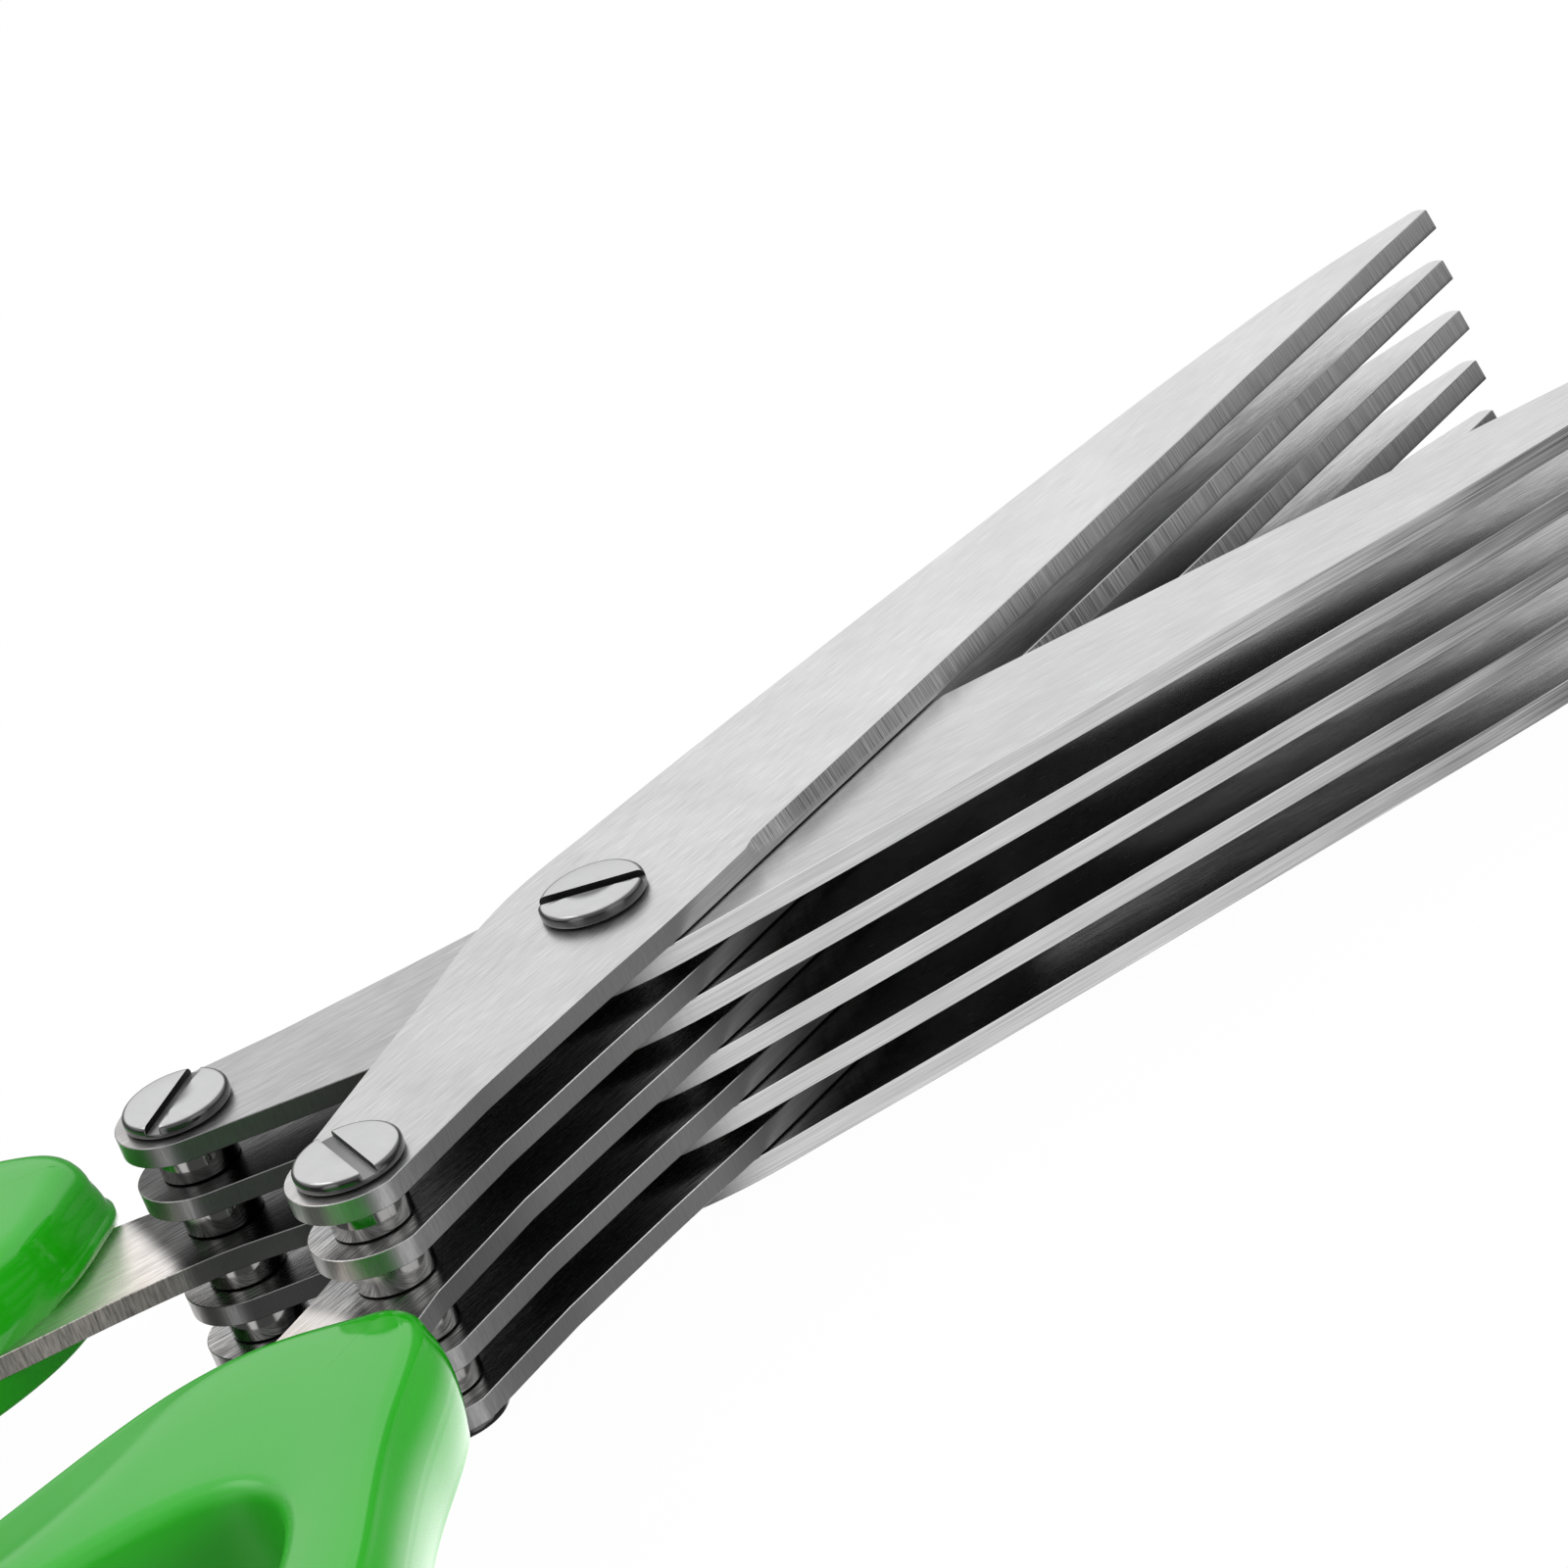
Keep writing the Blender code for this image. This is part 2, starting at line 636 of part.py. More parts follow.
def pin_meshes():
    """The meshes of the screws, sleeve nuts and spacers."""
    bright = screw_material()
    polished = spacer_material()
    pivot_stack = STACK_HEIGHT + 2 * FACE_CLEARANCE
    rear_stack = SIDE_HEIGHT + 2 * FACE_CLEARANCE
    return {
        "pivot_screw": screw_mesh("pivot_screw", pivot_stack, bright),
        "pivot_sleeve": sleeve_mesh("pivot_sleeve", pivot_stack, bright),
        "rear_screw": screw_mesh("rear_screw", rear_stack, bright),
        "rear_sleeve": sleeve_mesh("rear_sleeve", rear_stack, bright),
        "rear_spacer": spacer_mesh("rear_spacer", REAR_SPACER_RADIUS, REAR_SPACER_THICKNESS, polished),
        "pivot_spacer": spacer_mesh("pivot_spacer", PIVOT_SPACER_RADIUS, PIVOT_SPACER_THICKNESS, polished),
    }


def main():
    clear_scene()
    parts = new_collection("herb_scissors")
    meshes = pin_meshes()
    blade_steel = steel_material()
    plain = plate_mesh("plain_plate", plain_outline(), blade_steel)
    middle = plate_mesh("middle_plate", tang_outline(), blade_steel)
    green = handle_material()
    for side, turn, up in (("a", HALF_OPENING, 1), ("b", -HALF_OPENING, -1)):
        empty = frame(f"side_{side}", parts, up < 0, turn)
        add_plates(side, empty, parts, plain, middle)
        add_rear_pin(side, empty, parts, meshes)
        place(f"handle_{side}", handle_mesh(green, up), empty, parts, (0.0, 0.0, 0.0))
    add_pivot(parts, meshes)


main()
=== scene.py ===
"""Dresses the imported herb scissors: brushed plates, bright screws, polished spacers and glossy handles.

Each side of the scissors is worked out in its own frame, in metres: the tips at +X, the cutting edges
at -Y and z = 0 in the middle of the stack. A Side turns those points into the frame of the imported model.
"""

import logging
import math
from dataclasses import dataclass
from enum import Enum

import bmesh
import bpy
import numpy as np
from mathutils import Matrix, Vector, geometry

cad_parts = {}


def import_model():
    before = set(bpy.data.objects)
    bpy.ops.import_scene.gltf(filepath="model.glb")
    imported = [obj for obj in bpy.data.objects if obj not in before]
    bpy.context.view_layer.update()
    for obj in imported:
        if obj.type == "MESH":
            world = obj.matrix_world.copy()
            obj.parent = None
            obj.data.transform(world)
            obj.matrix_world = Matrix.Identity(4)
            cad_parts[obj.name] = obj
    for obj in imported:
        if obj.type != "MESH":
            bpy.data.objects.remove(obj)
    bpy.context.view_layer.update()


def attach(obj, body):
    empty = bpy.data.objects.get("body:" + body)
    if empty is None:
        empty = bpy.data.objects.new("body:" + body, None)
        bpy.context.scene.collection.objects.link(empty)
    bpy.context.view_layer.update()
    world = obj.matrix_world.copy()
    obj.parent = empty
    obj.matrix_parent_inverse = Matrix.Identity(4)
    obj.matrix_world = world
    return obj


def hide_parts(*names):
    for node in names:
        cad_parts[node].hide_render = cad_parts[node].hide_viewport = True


logging.basicConfig(level=logging.INFO, format="%(message)s")
LOG = logging.getLogger("herb_scissors")

Array = np.ndarray
MM = 0.001
# How far each side is turned from the middle, in degrees
HALF_OPENING = 10.0
WELD_DISTANCE = 2e-7
TURNED_WELD_DISTANCE = 1e-6
SHARP_ANGLE = math.radians(30)


class Slot(Enum):
    """The record's material slots."""

    BLADE = "blade_steel"
    SCREW = "bright_screw"
    SPACER = "polished_spacer"
    HANDLE = "green_handle"


def polar(radius: float, degrees: float) -> Array:
    """A point in the plane at this distance and angle."""
    angle = math.radians(degrees)
    return np.array([radius * math.cos(angle), radius * math.sin(angle)])


def arc(centre: Array, radius: float, start: float, stop: float, steps: int) -> Array:
    """Points along an arc: the centre plus the radius times (cos a, sin a), both ends included."""
    angles = np.radians(np.linspace(start, stop, steps + 1))
    return np.asarray(centre) + radius * np.column_stack([np.cos(angles), np.sin(angles)])


def spline(points: Array, steps: int, closed: bool) -> Array:
    """A smooth curve through some points, each with the same number of steps to the next.

    Between two points it is the cubic that has their places and tangents. A tangent is the mean of the
    chords beside it, each weighed by the other's length.

    Args:
        points: One row for each point, in two or more columns. The first two are the plan.
        steps: Steps from one point to the next.
        closed: Whether the last point runs on into the first.

    Returns:
        One row for each point of the curve.
    """
    p = np.array(points, float)
    if closed:
        before, after = np.roll(p, 1, 0), np.roll(p, -1, 0)
    else:
        before = np.vstack([2 * p[0] - p[1], p[:-1]])
        after = np.vstack([p[1:], 2 * p[-1] - p[-2]])
    back = np.linalg.norm((p - before)[:, :2], axis=1)[:, None]
    ahead = np.linalg.norm((after - p)[:, :2], axis=1)[:, None]
    tangent = ((after - p) / ahead * back + (p - before) / back * ahead) / (back + ahead)
    t = np.linspace(0.0, 1.0, steps, endpoint=False)[None, :, None]
    curve = (
        p[:, None] * (2 * t**3 - 3 * t**2 + 1)
        + (tangent * ahead)[:, None] * (t**3 - 2 * t**2 + t)
        + after[:, None] * (3 * t**2 - 2 * t**3)
        + (np.roll(tangent, -1, 0) * ahead)[:, None] * (t**3 - t**2)
    )
    if closed:
        return curve.reshape(-1, p.shape[1])
    return np.vstack([curve[:-1].reshape(-1, p.shape[1]), p[-1]])


def evened(loop: Array, spread: float) -> Array:
    """A closed loop evened out: each point is the mean of its neighbours, weighed by a bell curve.

    Args:
        loop: The loop's rows.
        spread: The bell curve's standard deviation, in points.

    Returns:
        As many rows.
    """
    waves = np.fft.rfftfreq(len(loop)) * 2 * np.pi
    bell = np.exp(-0.5 * (waves * spread) ** 2)[:, None]
    return np.fft.irfft(np.fft.rfft(loop, axis=0) * bell, len(loop), axis=0)


def left_normals(loop: Array) -> Array:
    """The left-hand normal at each point of a closed loop: the chord of its neighbours, turned a quarter."""
    tangent = np.roll(loop, -1, 0) - np.roll(loop, 1, 0)
    tangent = tangent / np.linalg.norm(tangent, axis=1)[:, None]
    return np.column_stack([-tangent[:, 1], tangent[:, 0]])


def mitres(loop: Array) -> Array:
    """The step at each corner of a closed loop that moves both its edges one unit to the left."""
    ahead = np.roll(loop, -1, 0) - loop
    ahead = ahead / np.linalg.norm(ahead, axis=1)[:, None]
    normal = np.column_stack([-ahead[:, 1], ahead[:, 0]])
    both = normal + np.roll(normal, 1, 0)
    return 2 * both / (both**2).sum(1)[:, None]


def ring_faces(rings: int, stations: int, wrap: bool = False, first: int = 0) -> Array:
    """Quads between rings of points, each ring closed on itself.

    Args:
        rings: How many rings follow one another.
        stations: Points in each ring.
        wrap: Whether the last ring joins the first.
        first: The index of the first point.

    Returns:
        Four point indices in each row.
    """
    index = first + np.arange(rings * stations).reshape(rings, stations)
    upper = np.roll(index, -1, 0)
    quads = np.stack([index, np.roll(index, -1, 1), np.roll(upper, -1, 1), upper], axis=-1)
    return (quads if wrap else quads[:-1]).reshape(-1, 4)


def build(name: str, points: Array, faces: list[list[int]], merge: float = WELD_DISTANCE) -> bpy.types.Mesh:
    """A mesh whose coincident points are joined and whose faces point outward.

    Args:
        name: The mesh's name.
        points: Its points, in metres.
        faces: The point indices of each face.
        merge: The distance under which points are one.

    Returns:
        The mesh, shaded smooth between its sharp edges.
    """
    mesh = bpy.data.meshes.new(name)
    mesh.from_pydata(np.asarray(points).tolist(), [], faces)
    solid = bmesh.new()
    solid.from_mesh(mesh)
    bmesh.ops.remove_doubles(solid, verts=solid.verts, dist=merge)
    bmesh.ops.recalc_face_normals(solid, faces=solid.faces)
    solid.to_mesh(mesh)
    solid.free()
    mesh.shade_smooth()
    mesh.set_sharp_from_angle(angle=SHARP_ANGLE)
    return mesh


def turned(name: str, profile: Array, steps: int, closed: bool) -> bpy.types.Mesh:
    """A profile turned round the z axis: (r, h) goes to (r cos a, r sin a, h).

    Args:
        name: The mesh's name.
        profile: Rows of radius and height.
        steps: Steps round the axis.
        closed: Whether the profile's last point joins its first, as a ring's does.

    Returns:
        The mesh.
    """
    angles = np.linspace(0.0, 2 * np.pi, steps, endpoint=False)[None, :]
    radius, height = np.asarray(profile)[:, :1], np.asarray(profile)[:, 1:]
    grid = np.stack([radius * np.cos(angles), radius * np.sin(angles), height + 0 * angles], axis=-1)
    faces = ring_faces(len(profile), steps, wrap=closed)
    return build(name, grid.reshape(-1, 3), faces.tolist(), merge=TURNED_WELD_DISTANCE)


def show(obj: bpy.types.Object) -> bpy.types.Object:
    """Links an object to the scene."""
    bpy.context.scene.collection.objects.link(obj)
    return obj


@dataclass(frozen=True)
class Stack:
    """The heights of the stack of plates."""

    plate: float = 1.5 * MM
    pairs: int = 5
    pivot_spacer: float = 0.7 * MM
    clearance: float = 0.1 * MM
    head: float = 0.9 * MM

    @property
    def pitch(self) -> float:
        """From one plate of a side to its next."""
        return 2 * self.plate + self.pivot_spacer + 3 * self.clearance

    @property
    def height(self) -> float:
        """From the lowest plate's underside to the highest one's top."""
        return self.pairs * self.pitch - self.pivot_spacer - 2 * self.clearance

    @property
    def middle(self) -> float:
        """The stack's middle above the pivot's underside."""
        return self.head + self.clearance + self.height / 2

    @property
    def side_height(self) -> float:
        """From the lowest plate of one side to the top of its highest."""
        return (self.pairs - 1) * self.pitch + self.plate

    def plate_height(self, index: int) -> float:
        """A plate's middle in its side's frame, counted from the plate with its ground face outside."""
        return self.height / 2 - self.plate / 2 - index * self.pitch


@dataclass(frozen=True)
class Side:
    """One side of the scissors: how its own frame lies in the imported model's."""

    name: str
    turn: float
    flipped: bool
    middle: float

    @property
    def body(self) -> str:
        """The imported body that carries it."""
        return f"side_{self.name}"

    def matrix(self) -> Matrix:
        """Turned over where it is flipped, then turned about the pivot, then lifted to the stack's middle."""
        lift = Matrix.Translation((0, 0, self.middle))
        return lift @ Matrix.Rotation(math.radians(self.turn), 4, "Z") @ self.over()

    def over(self) -> Matrix:
        """A half turn about the blade's own line where the side is flipped, and nothing where it isn't."""
        return Matrix.Rotation(math.pi if self.flipped else 0.0, 4, "X")

    def number(self, index: int, pairs: int) -> int:
        """A plate's number from the top, from its index in the side's own frame."""
        return pairs - index if self.flipped else index + 1


class Nodes:
    """A short way to add nodes to a tree and to join them."""

    def __init__(self, tree: bpy.types.NodeTree) -> None:
        """Takes the tree that the nodes go into."""
        self.tree = tree

    def add(self, kind: str, props: dict | None = None, **inputs: object) -> bpy.types.Node:
        """A node with its properties and inputs set.

        Args:
            kind: The node's type.
            props: Properties of the node by name.
            inputs: Its inputs, as wire takes them.

        Returns:
            The node.
        """
        node = self.tree.nodes.new(kind)
        for key, value in (props or {}).items():
            setattr(node, key, value)
        self.wire(node, **inputs)
        return node

    def wire(self, node: bpy.types.Node, **inputs: object) -> None:
        """Sets or joins a node's inputs.

        Args:
            node: The node.
            inputs: A value or an output socket for each input. Spaces in a name are written as _, and an
                input given by number as n0, n1 and so on.
        """
        for key, value in inputs.items():
            name = int(key[1:]) if key[0] == "n" and key[1:].isdigit() else key.replace("_", " ")
            if isinstance(value, bpy.types.NodeSocket):
                self.tree.links.new(value, node.inputs[name])
            else:
                node.inputs[name].default_value = value

    def math(self, operation: str, a: object, b: object = 0.0, c: object = 0.0) -> object:
        """The result of a Math node."""
        return self.add("ShaderNodeMath", {"operation": operation}, n0=a, n1=b, n2=c).outputs[0]

    def times(self, a: object, b: object) -> object:
        """The product of two values."""
        return self.math("MULTIPLY", a, b)

    def vector_math(self, operation: str, a: object, b: object = (0.0, 0.0, 0.0)) -> bpy.types.Node:
        """A Vector Math node."""
        return self.add("ShaderNodeVectorMath", {"operation": operation}, n0=a, n1=b)

    def ramp(self, value: object, low: float, high: float, start: float = 0.0, stop: float = 1.0) -> object:
        """The value taken smoothly from (low, high) to (start, stop)."""
        props = {"interpolation_type": "SMOOTHSTEP"}
        numbers = {"From_Min": low, "From_Max": high, "To_Min": start, "To_Max": stop}
        return self.add("ShaderNodeMapRange", props, Value=value, **numbers).outputs["Result"]

    def span(self, value: object, low: float, high: float, start: float, stop: float) -> object:
        """The value taken in a straight line from (low, high) to (start, stop), and held at the ends."""
        numbers = {"From_Min": low, "From_Max": high, "To_Min": start, "To_Max": stop}
        return self.add("ShaderNodeMapRange", None, Value=value, **numbers).outputs["Result"]

    def mix(self, factor: object, a: object, b: object, blend: str = "MIX") -> object:
        """Colour a where the factor is 0, and where it is 1 colour b, or a blended with b."""
        props = {"data_type": "RGBA", "blend_type": blend}
        return self.add("ShaderNodeMix", props, n0=factor, n6=a, n7=b).outputs[2]

    def mix_value(self, factor: object, a: object, b: object) -> object:
        """Value a where the factor is 0, and value b where it is 1."""
        return self.add("ShaderNodeMix", {"data_type": "FLOAT"}, n0=factor, n2=a, n3=b).outputs[0]

    def group(self, group: bpy.types.NodeTree, **inputs: object) -> bpy.types.Node:
        """A node that holds a group."""
        return self.add("ShaderNodeGroup", {"node_tree": group}, **inputs)

    def marks(self, effects: "Effects", vector: object, kind: tuple) -> object:
        """Fine lines of a kind, which is their frequency and how much of them is broad."""
        return self.group(effects.grain, Vector=vector, Frequency=kind[0], Coarse=kind[1]).outputs[0]

    def patches(self, effects: "Effects", scale: float, low: float = 0.0, high: float = 1.0) -> object:
        """Soft patches, with values from low to high."""
        place = self.place()
        return self.group(effects.mottle, Vector=place, Scale=scale, Low=low, High=high).outputs[0]

    def neutral(self, value: object) -> object:
        """A neutral colour as bright as the value."""
        return self.add("ShaderNodeCombineColor", None, Red=value, Green=value, Blue=value).outputs[0]

    def place(self) -> object:
        """The point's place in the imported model's frame."""
        return self.add("ShaderNodeTexCoord").outputs["Object"]

    def turned(self, place: object, degrees: float) -> object:
        """The place in a frame that is turned about the z axis."""
        rotation = (0, 0, -math.radians(degrees))
        return self.add("ShaderNodeMapping", None, Vector=place, Rotation=rotation).outputs[0]

    def normal(self) -> object:
        """The surface's normal."""
        return self.add("ShaderNodeNewGeometry").outputs["Normal"]

    def bump(self, height: object, strength: float, distance: float) -> object:
        """The normal of a surface with these small heights."""
        numbers = {"Strength": strength, "Distance": distance}
        return self.add("ShaderNodeBump", None, Height=height, **numbers).outputs[0]

    def to_camera(self, share: float, shader: object, white: object) -> object:
        """A shader that gives way to white by this share where the camera looks straight at it."""
        seen = self.times(self.add("ShaderNodeLightPath").outputs["Is Camera Ray"], share)
        return self.add("ShaderNodeMixShader", None, n0=seen, n1=shader, n2=white).outputs[0]


def grey(value: float) -> tuple[float, float, float, float]:
    """A neutral colour."""
    return (value, value, value, 1.0)


def new_group(name: str, inputs: dict, outputs: tuple) -> tuple[Nodes, object, bpy.types.Node]:
    """An empty shader node group.

    Args:
        name: The group's name.
        inputs: Each input's default: a number for a value, a tuple for a vector.
        outputs: The names of the values that it gives.

    Returns:
        The group's nodes, its inputs by name, and the node that takes what it gives.
    """
    tree = bpy.data.node_groups.new(name, "ShaderNodeTree")
    for key, value in inputs.items():
        kind = "NodeSocketVector" if isinstance(value, tuple) else "NodeSocketFloat"
        socket = tree.interface.new_socket(key, in_out="INPUT", socket_type=kind)
        socket.default_value = value
    for key in outputs:
        tree.interface.new_socket(key, in_out="OUTPUT", socket_type="NodeSocketFloat")
    nodes = Nodes(tree)
    return nodes, nodes.add("NodeGroupInput").outputs, nodes.add("NodeGroupOutput")


class Effects:
    """The surface effects that several finishes share, each a node group made once."""

    def __init__(self) -> None:
        """Makes the groups."""
        self.grain = self._grain()
        self.mottle = self._mottle()
        self.facing = self._facing()

    def _grain(self) -> bpy.types.NodeTree:
        """Fine lines: noise on coordinates stretched along the lines, with broader lines laid over."""
        inputs = {"Vector": (0.0, 0.0, 0.0), "Frequency": (1.0, 1.0, 1.0), "Coarse": 0.35}
        nodes, take, give = new_group("fine_lines", inputs, ("Value",))
        place = nodes.vector_math("MULTIPLY", take["Vector"], take["Frequency"]).outputs[0]
        fine = nodes.add("ShaderNodeTexNoise", None, Vector=place, Scale=1.0, Detail=2.0, Roughness=0.6)
        wide = nodes.vector_math("MULTIPLY", place, (0.31, 0.23, 0.23)).outputs[0]
        broad = nodes.add("ShaderNodeTexNoise", None, Vector=wide, Scale=1.0, Detail=1.0)
        mixed = nodes.mix_value(take["Coarse"], fine.outputs[0], broad.outputs[0])
        nodes.wire(give, Value=nodes.span(mixed, 0.30, 0.70, 0.0, 1.0))
        return nodes.tree

    def _mottle(self) -> bpy.types.NodeTree:
        """Soft patches, as handling and polishing leave them."""
        inputs = {"Vector": (0.0, 0.0, 0.0), "Scale": 100.0, "Low": 0.0, "High": 1.0}
        nodes, take, give = new_group("soft_patches", inputs, ("Value",))
        noise = nodes.add("ShaderNodeTexNoise", None, Vector=take["Vector"], Scale=take["Scale"], Detail=3.0)
        share = nodes.ramp(noise.outputs[0], 0.32, 0.68)
        nodes.wire(give, Value=nodes.mix_value(share, take["Low"], take["High"]))
        return nodes.tree

    def _facing(self) -> bpy.types.NodeTree:
        """Which kind of face this is, from how steep it stands: flat, ground at a slant, or neither."""
        nodes, take, give = new_group("kind_of_face", {"Normal": (0.0, 0.0, 1.0)}, ("Flat", "Ground"))
        parts = nodes.add("ShaderNodeSeparateXYZ", None, Vector=take["Normal"])
        rise = nodes.math("ABSOLUTE", parts.outputs["Z"])
        ground = nodes.times(nodes.ramp(rise, 0.12, 0.17), nodes.ramp(rise, 0.35, 0.45, 1.0, 0.0))
        nodes.wire(give, Flat=nodes.ramp(rise, 0.80, 0.90), Ground=ground)
        return nodes.tree


def new_material(name: str) -> tuple[bpy.types.Material, Nodes, bpy.types.Node]:
    """A material with a Principled shader, its nodes, and the shader itself."""
    material = bpy.data.materials.new(name)
    material.use_nodes = True
    nodes = Nodes(material.node_tree)
    return material, nodes, material.node_tree.nodes["Principled BSDF"]


class Finish:
    """A finish: a material whose shader takes its inputs from the class that extends this one."""

    def inputs(self, nodes: Nodes, effects: Effects) -> dict[str, object]:
        """The shader's inputs by name, each a value or a node's output."""
        raise NotImplementedError

    def material(self, name: str, effects: Effects) -> bpy.types.Material:
        """Builds the material.

        Args:
            name: The material's name.
            effects: The shared node groups.

        Returns:
            The material.
        """
        material, nodes, shader = new_material(name)
        nodes.wire(shader, **self.inputs(nodes, effects))
        return material


@dataclass(frozen=True)
class Spot:
    """Where a point of a plate lies, and what it is part of. Each field is a node's output."""

    along: object
    reach: object
    across: object
    height: object
    flat: object
    ground: object
    rear: object
    forward: object
    tang: object
    stacked: object


@dataclass(frozen=True)
class PlateSteel(Finish):
    """Stainless plate: brushed along its faces, ground across at the cutting edge, and along its spine."""

    turn: float
    ground_turn: float
    face_grey: float = 0.68
    # Painted shade: how pale the outer faces stay at the rear
    rear_shade_share: float = 0.83
    # Painted shade on the faces between the plates, in front of the pivot and behind it
    inner_shade_grey: float = 0.18
    rear_inner_shade: float = 0.36
    # How much further out along the blade painted shade reaches on a bevel, for each metre below the top
    shade_slope: float = 4.5
    ground_grey: float = 0.74
    wall_grey: float = 0.55
    # Painted shade on the walls at the tips and at the arms' round ends
    tip_wall_shade_grey: float = 0.24
    rear_spine_grey: float = 0.22
    end_shade_grey: float = 0.40
    tang_grey: float = 0.80
    tang_wall_grey: float = 0.50

    # The tool marks: how many to the metre along, across and up, and how much of them is broad
    BRUSHED = ((420, 8000, 900), 0.12)
    CROSSED = ((8600, 150, 150), 0.12)
    DRAWN = ((110, 140, 9000), 0.15)
    STAMPED = ((8000, 8000, 900), 0.30)

    # Where a part of the plate starts and where it is full: along the blade from the pivot, across or up
    REAR = (3.0 * MM, -6.0 * MM)
    FORWARD = (31.0 * MM, 76.0 * MM)
    TANG = (-32.2 * MM, -33.2 * MM)
    TANG_WARMTH = (-30.0 * MM, -36.0 * MM)
    ARM = (4.0 * MM, -10.0 * MM)
    ARM_END = (-18.0 * MM, -26.0 * MM)
    ARM_SPINE = (-6.2 * MM, -4.8 * MM)
    CROSSING_SIDE = (-3.0 * MM, -5.0 * MM)
    CROSSING = (-6.0 * MM, 3.0 * MM)
    # Where the plates lie stacked, the faces that take painted shade
    STACK_BACK = (-33.8 * MM, -32.2 * MM)
    STACK_FRONT = (88.0 * MM, 54.0 * MM)
    STACK_TOP = (18.3 * MM, 18.1 * MM)
    STACK_FOOT = (1.8 * MM, 2.0 * MM)
    OUTER_FADE = (48.0 * MM, -26.0 * MM)

    # The same two places, and the value at each
    # Painted light near the mouth and painted shade at the tips, on the faces between the plates
    MOUTH_LIGHT = (18.0 * MM, 42.0 * MM, 2.3, 1.0)
    TIP_SHADE = (42.0 * MM, 58.0 * MM, 1.0, 0.76)
    BEVEL_LIGHT = (6.0 * MM, 44.0 * MM, 0.50, 1.0)
    BEVEL_START = (13.5 * MM, 10.5 * MM, 0.0, 0.40)
    OUTER_SWING = (40.0 * MM, 0.0, 0.14, 0.26)
    INNER_SWING = (6.0 * MM, -8.0 * MM, 0.70, 1.50)
    BEVEL_SWING = (30.0 * MM, 80.0 * MM, 1.55, 0.85)
    INNER_ROUGHNESS = (10.0 * MM, -8.0 * MM, 0.22, 0.28)

    # Heights between which the painted shade on the arms behind the pivot gets lighter again, and the highest
    # plate's top
    LOW_ARMS = (9.5 * MM, 8.0 * MM)
    LOW_ARM_SHADE_GREY = 0.36
    TOP = 20.1 * MM
    CROSSING_SHADE = 0.55
    WARM = (1.0, 0.920, 0.865, 1.0)

    def spot(self, nodes: Nodes, effects: Effects) -> Spot:
        """Works out where a point lies in the side's own frame, and what it is part of.

        Args:
            nodes: The material's nodes.
            effects: The shared node groups.

        Returns:
            The point's spot.
        """
        along = nodes.turned(nodes.place(), self.turn)
        parts = nodes.add("ShaderNodeSeparateXYZ", None, Vector=along)
        reach, height = parts.outputs["X"], parts.outputs["Z"]
        kind = nodes.group(effects.facing, Normal=nodes.normal())
        stacked = nodes.ramp(reach, *self.STACK_BACK)
        for value, span in ((reach, self.STACK_FRONT), (height, self.STACK_TOP), (height, self.STACK_FOOT)):
            stacked = nodes.times(stacked, nodes.ramp(value, *span))
        return Spot(
            along=along,
            reach=reach,
            across=nodes.times(parts.outputs["Y"], math.copysign(1.0, self.turn)),
            height=height,
            flat=kind.outputs["Flat"],
            ground=kind.outputs["Ground"],
            rear=nodes.ramp(reach, *self.REAR),
            forward=nodes.ramp(reach, *self.FORWARD),
            tang=nodes.ramp(reach, *self.TANG),
            stacked=stacked,
        )

    def lines(self, nodes: Nodes, effects: Effects, spot: Spot) -> object:
        """The tool marks of each kind of face.

        Args:
            nodes: The material's nodes.
            effects: The shared node groups.
            spot: Where the point is.

        Returns:
            A value from 0 to 1.
        """
        kinds = (self.BRUSHED, self.DRAWN, self.STAMPED)
        brushed, drawn, stamped = (nodes.marks(effects, spot.along, kind) for kind in kinds)
        crossed = nodes.marks(effects, nodes.turned(nodes.place(), self.ground_turn), self.CROSSED)
        walls = nodes.mix_value(spot.rear, drawn, stamped)
        return nodes.mix_value(spot.ground, nodes.mix_value(spot.flat, walls, brushed), crossed)

    def face(self, nodes: Nodes, spot: Spot) -> object:
        """How pale a flat face is: bright outside, and dark between the plates with painted shade."""
        # Painted shade: the outer faces grow darker towards the rear
        outer = nodes.times(nodes.ramp(spot.reach, *self.OUTER_FADE, 1.0, self.rear_shade_share), self.face_grey)
        outer = nodes.mix_value(spot.tang, outer, self.tang_grey)
        # Painted shade on the faces between the plates: lighter near the mouth and on the lower arms, darker
        # at the tips
        inner = nodes.times(nodes.ramp(spot.reach, *self.MOUTH_LIGHT), self.inner_shade_grey)
        inner = nodes.times(nodes.ramp(spot.reach, *self.TIP_SHADE), inner)
        behind = nodes.ramp(spot.height, *self.LOW_ARMS, self.rear_inner_shade, self.LOW_ARM_SHADE_GREY)
        inner = nodes.mix_value(nodes.ramp(spot.reach, *self.ARM), inner, behind)
        return nodes.mix_value(spot.stacked, outer, inner)

    def wall(self, nodes: Nodes, spot: Spot) -> object:
        """How pale an upright wall is: painted shade at the tips, at the arms' ends and where the stacks
        cross, and darker along the arms' spine.
        """
        # Painted shade at the tips and at the arms' round ends
        wall = nodes.mix_value(spot.forward, self.wall_grey, self.tip_wall_shade_grey)
        wall = nodes.mix_value(nodes.ramp(spot.reach, *self.ARM_END), wall, self.end_shade_grey)
        arm_spine = nodes.times(nodes.ramp(spot.across, *self.ARM_SPINE), spot.rear)
        wall = nodes.mix_value(arm_spine, wall, self.rear_spine_grey)
        wall = nodes.mix_value(spot.tang, wall, self.tang_wall_grey)
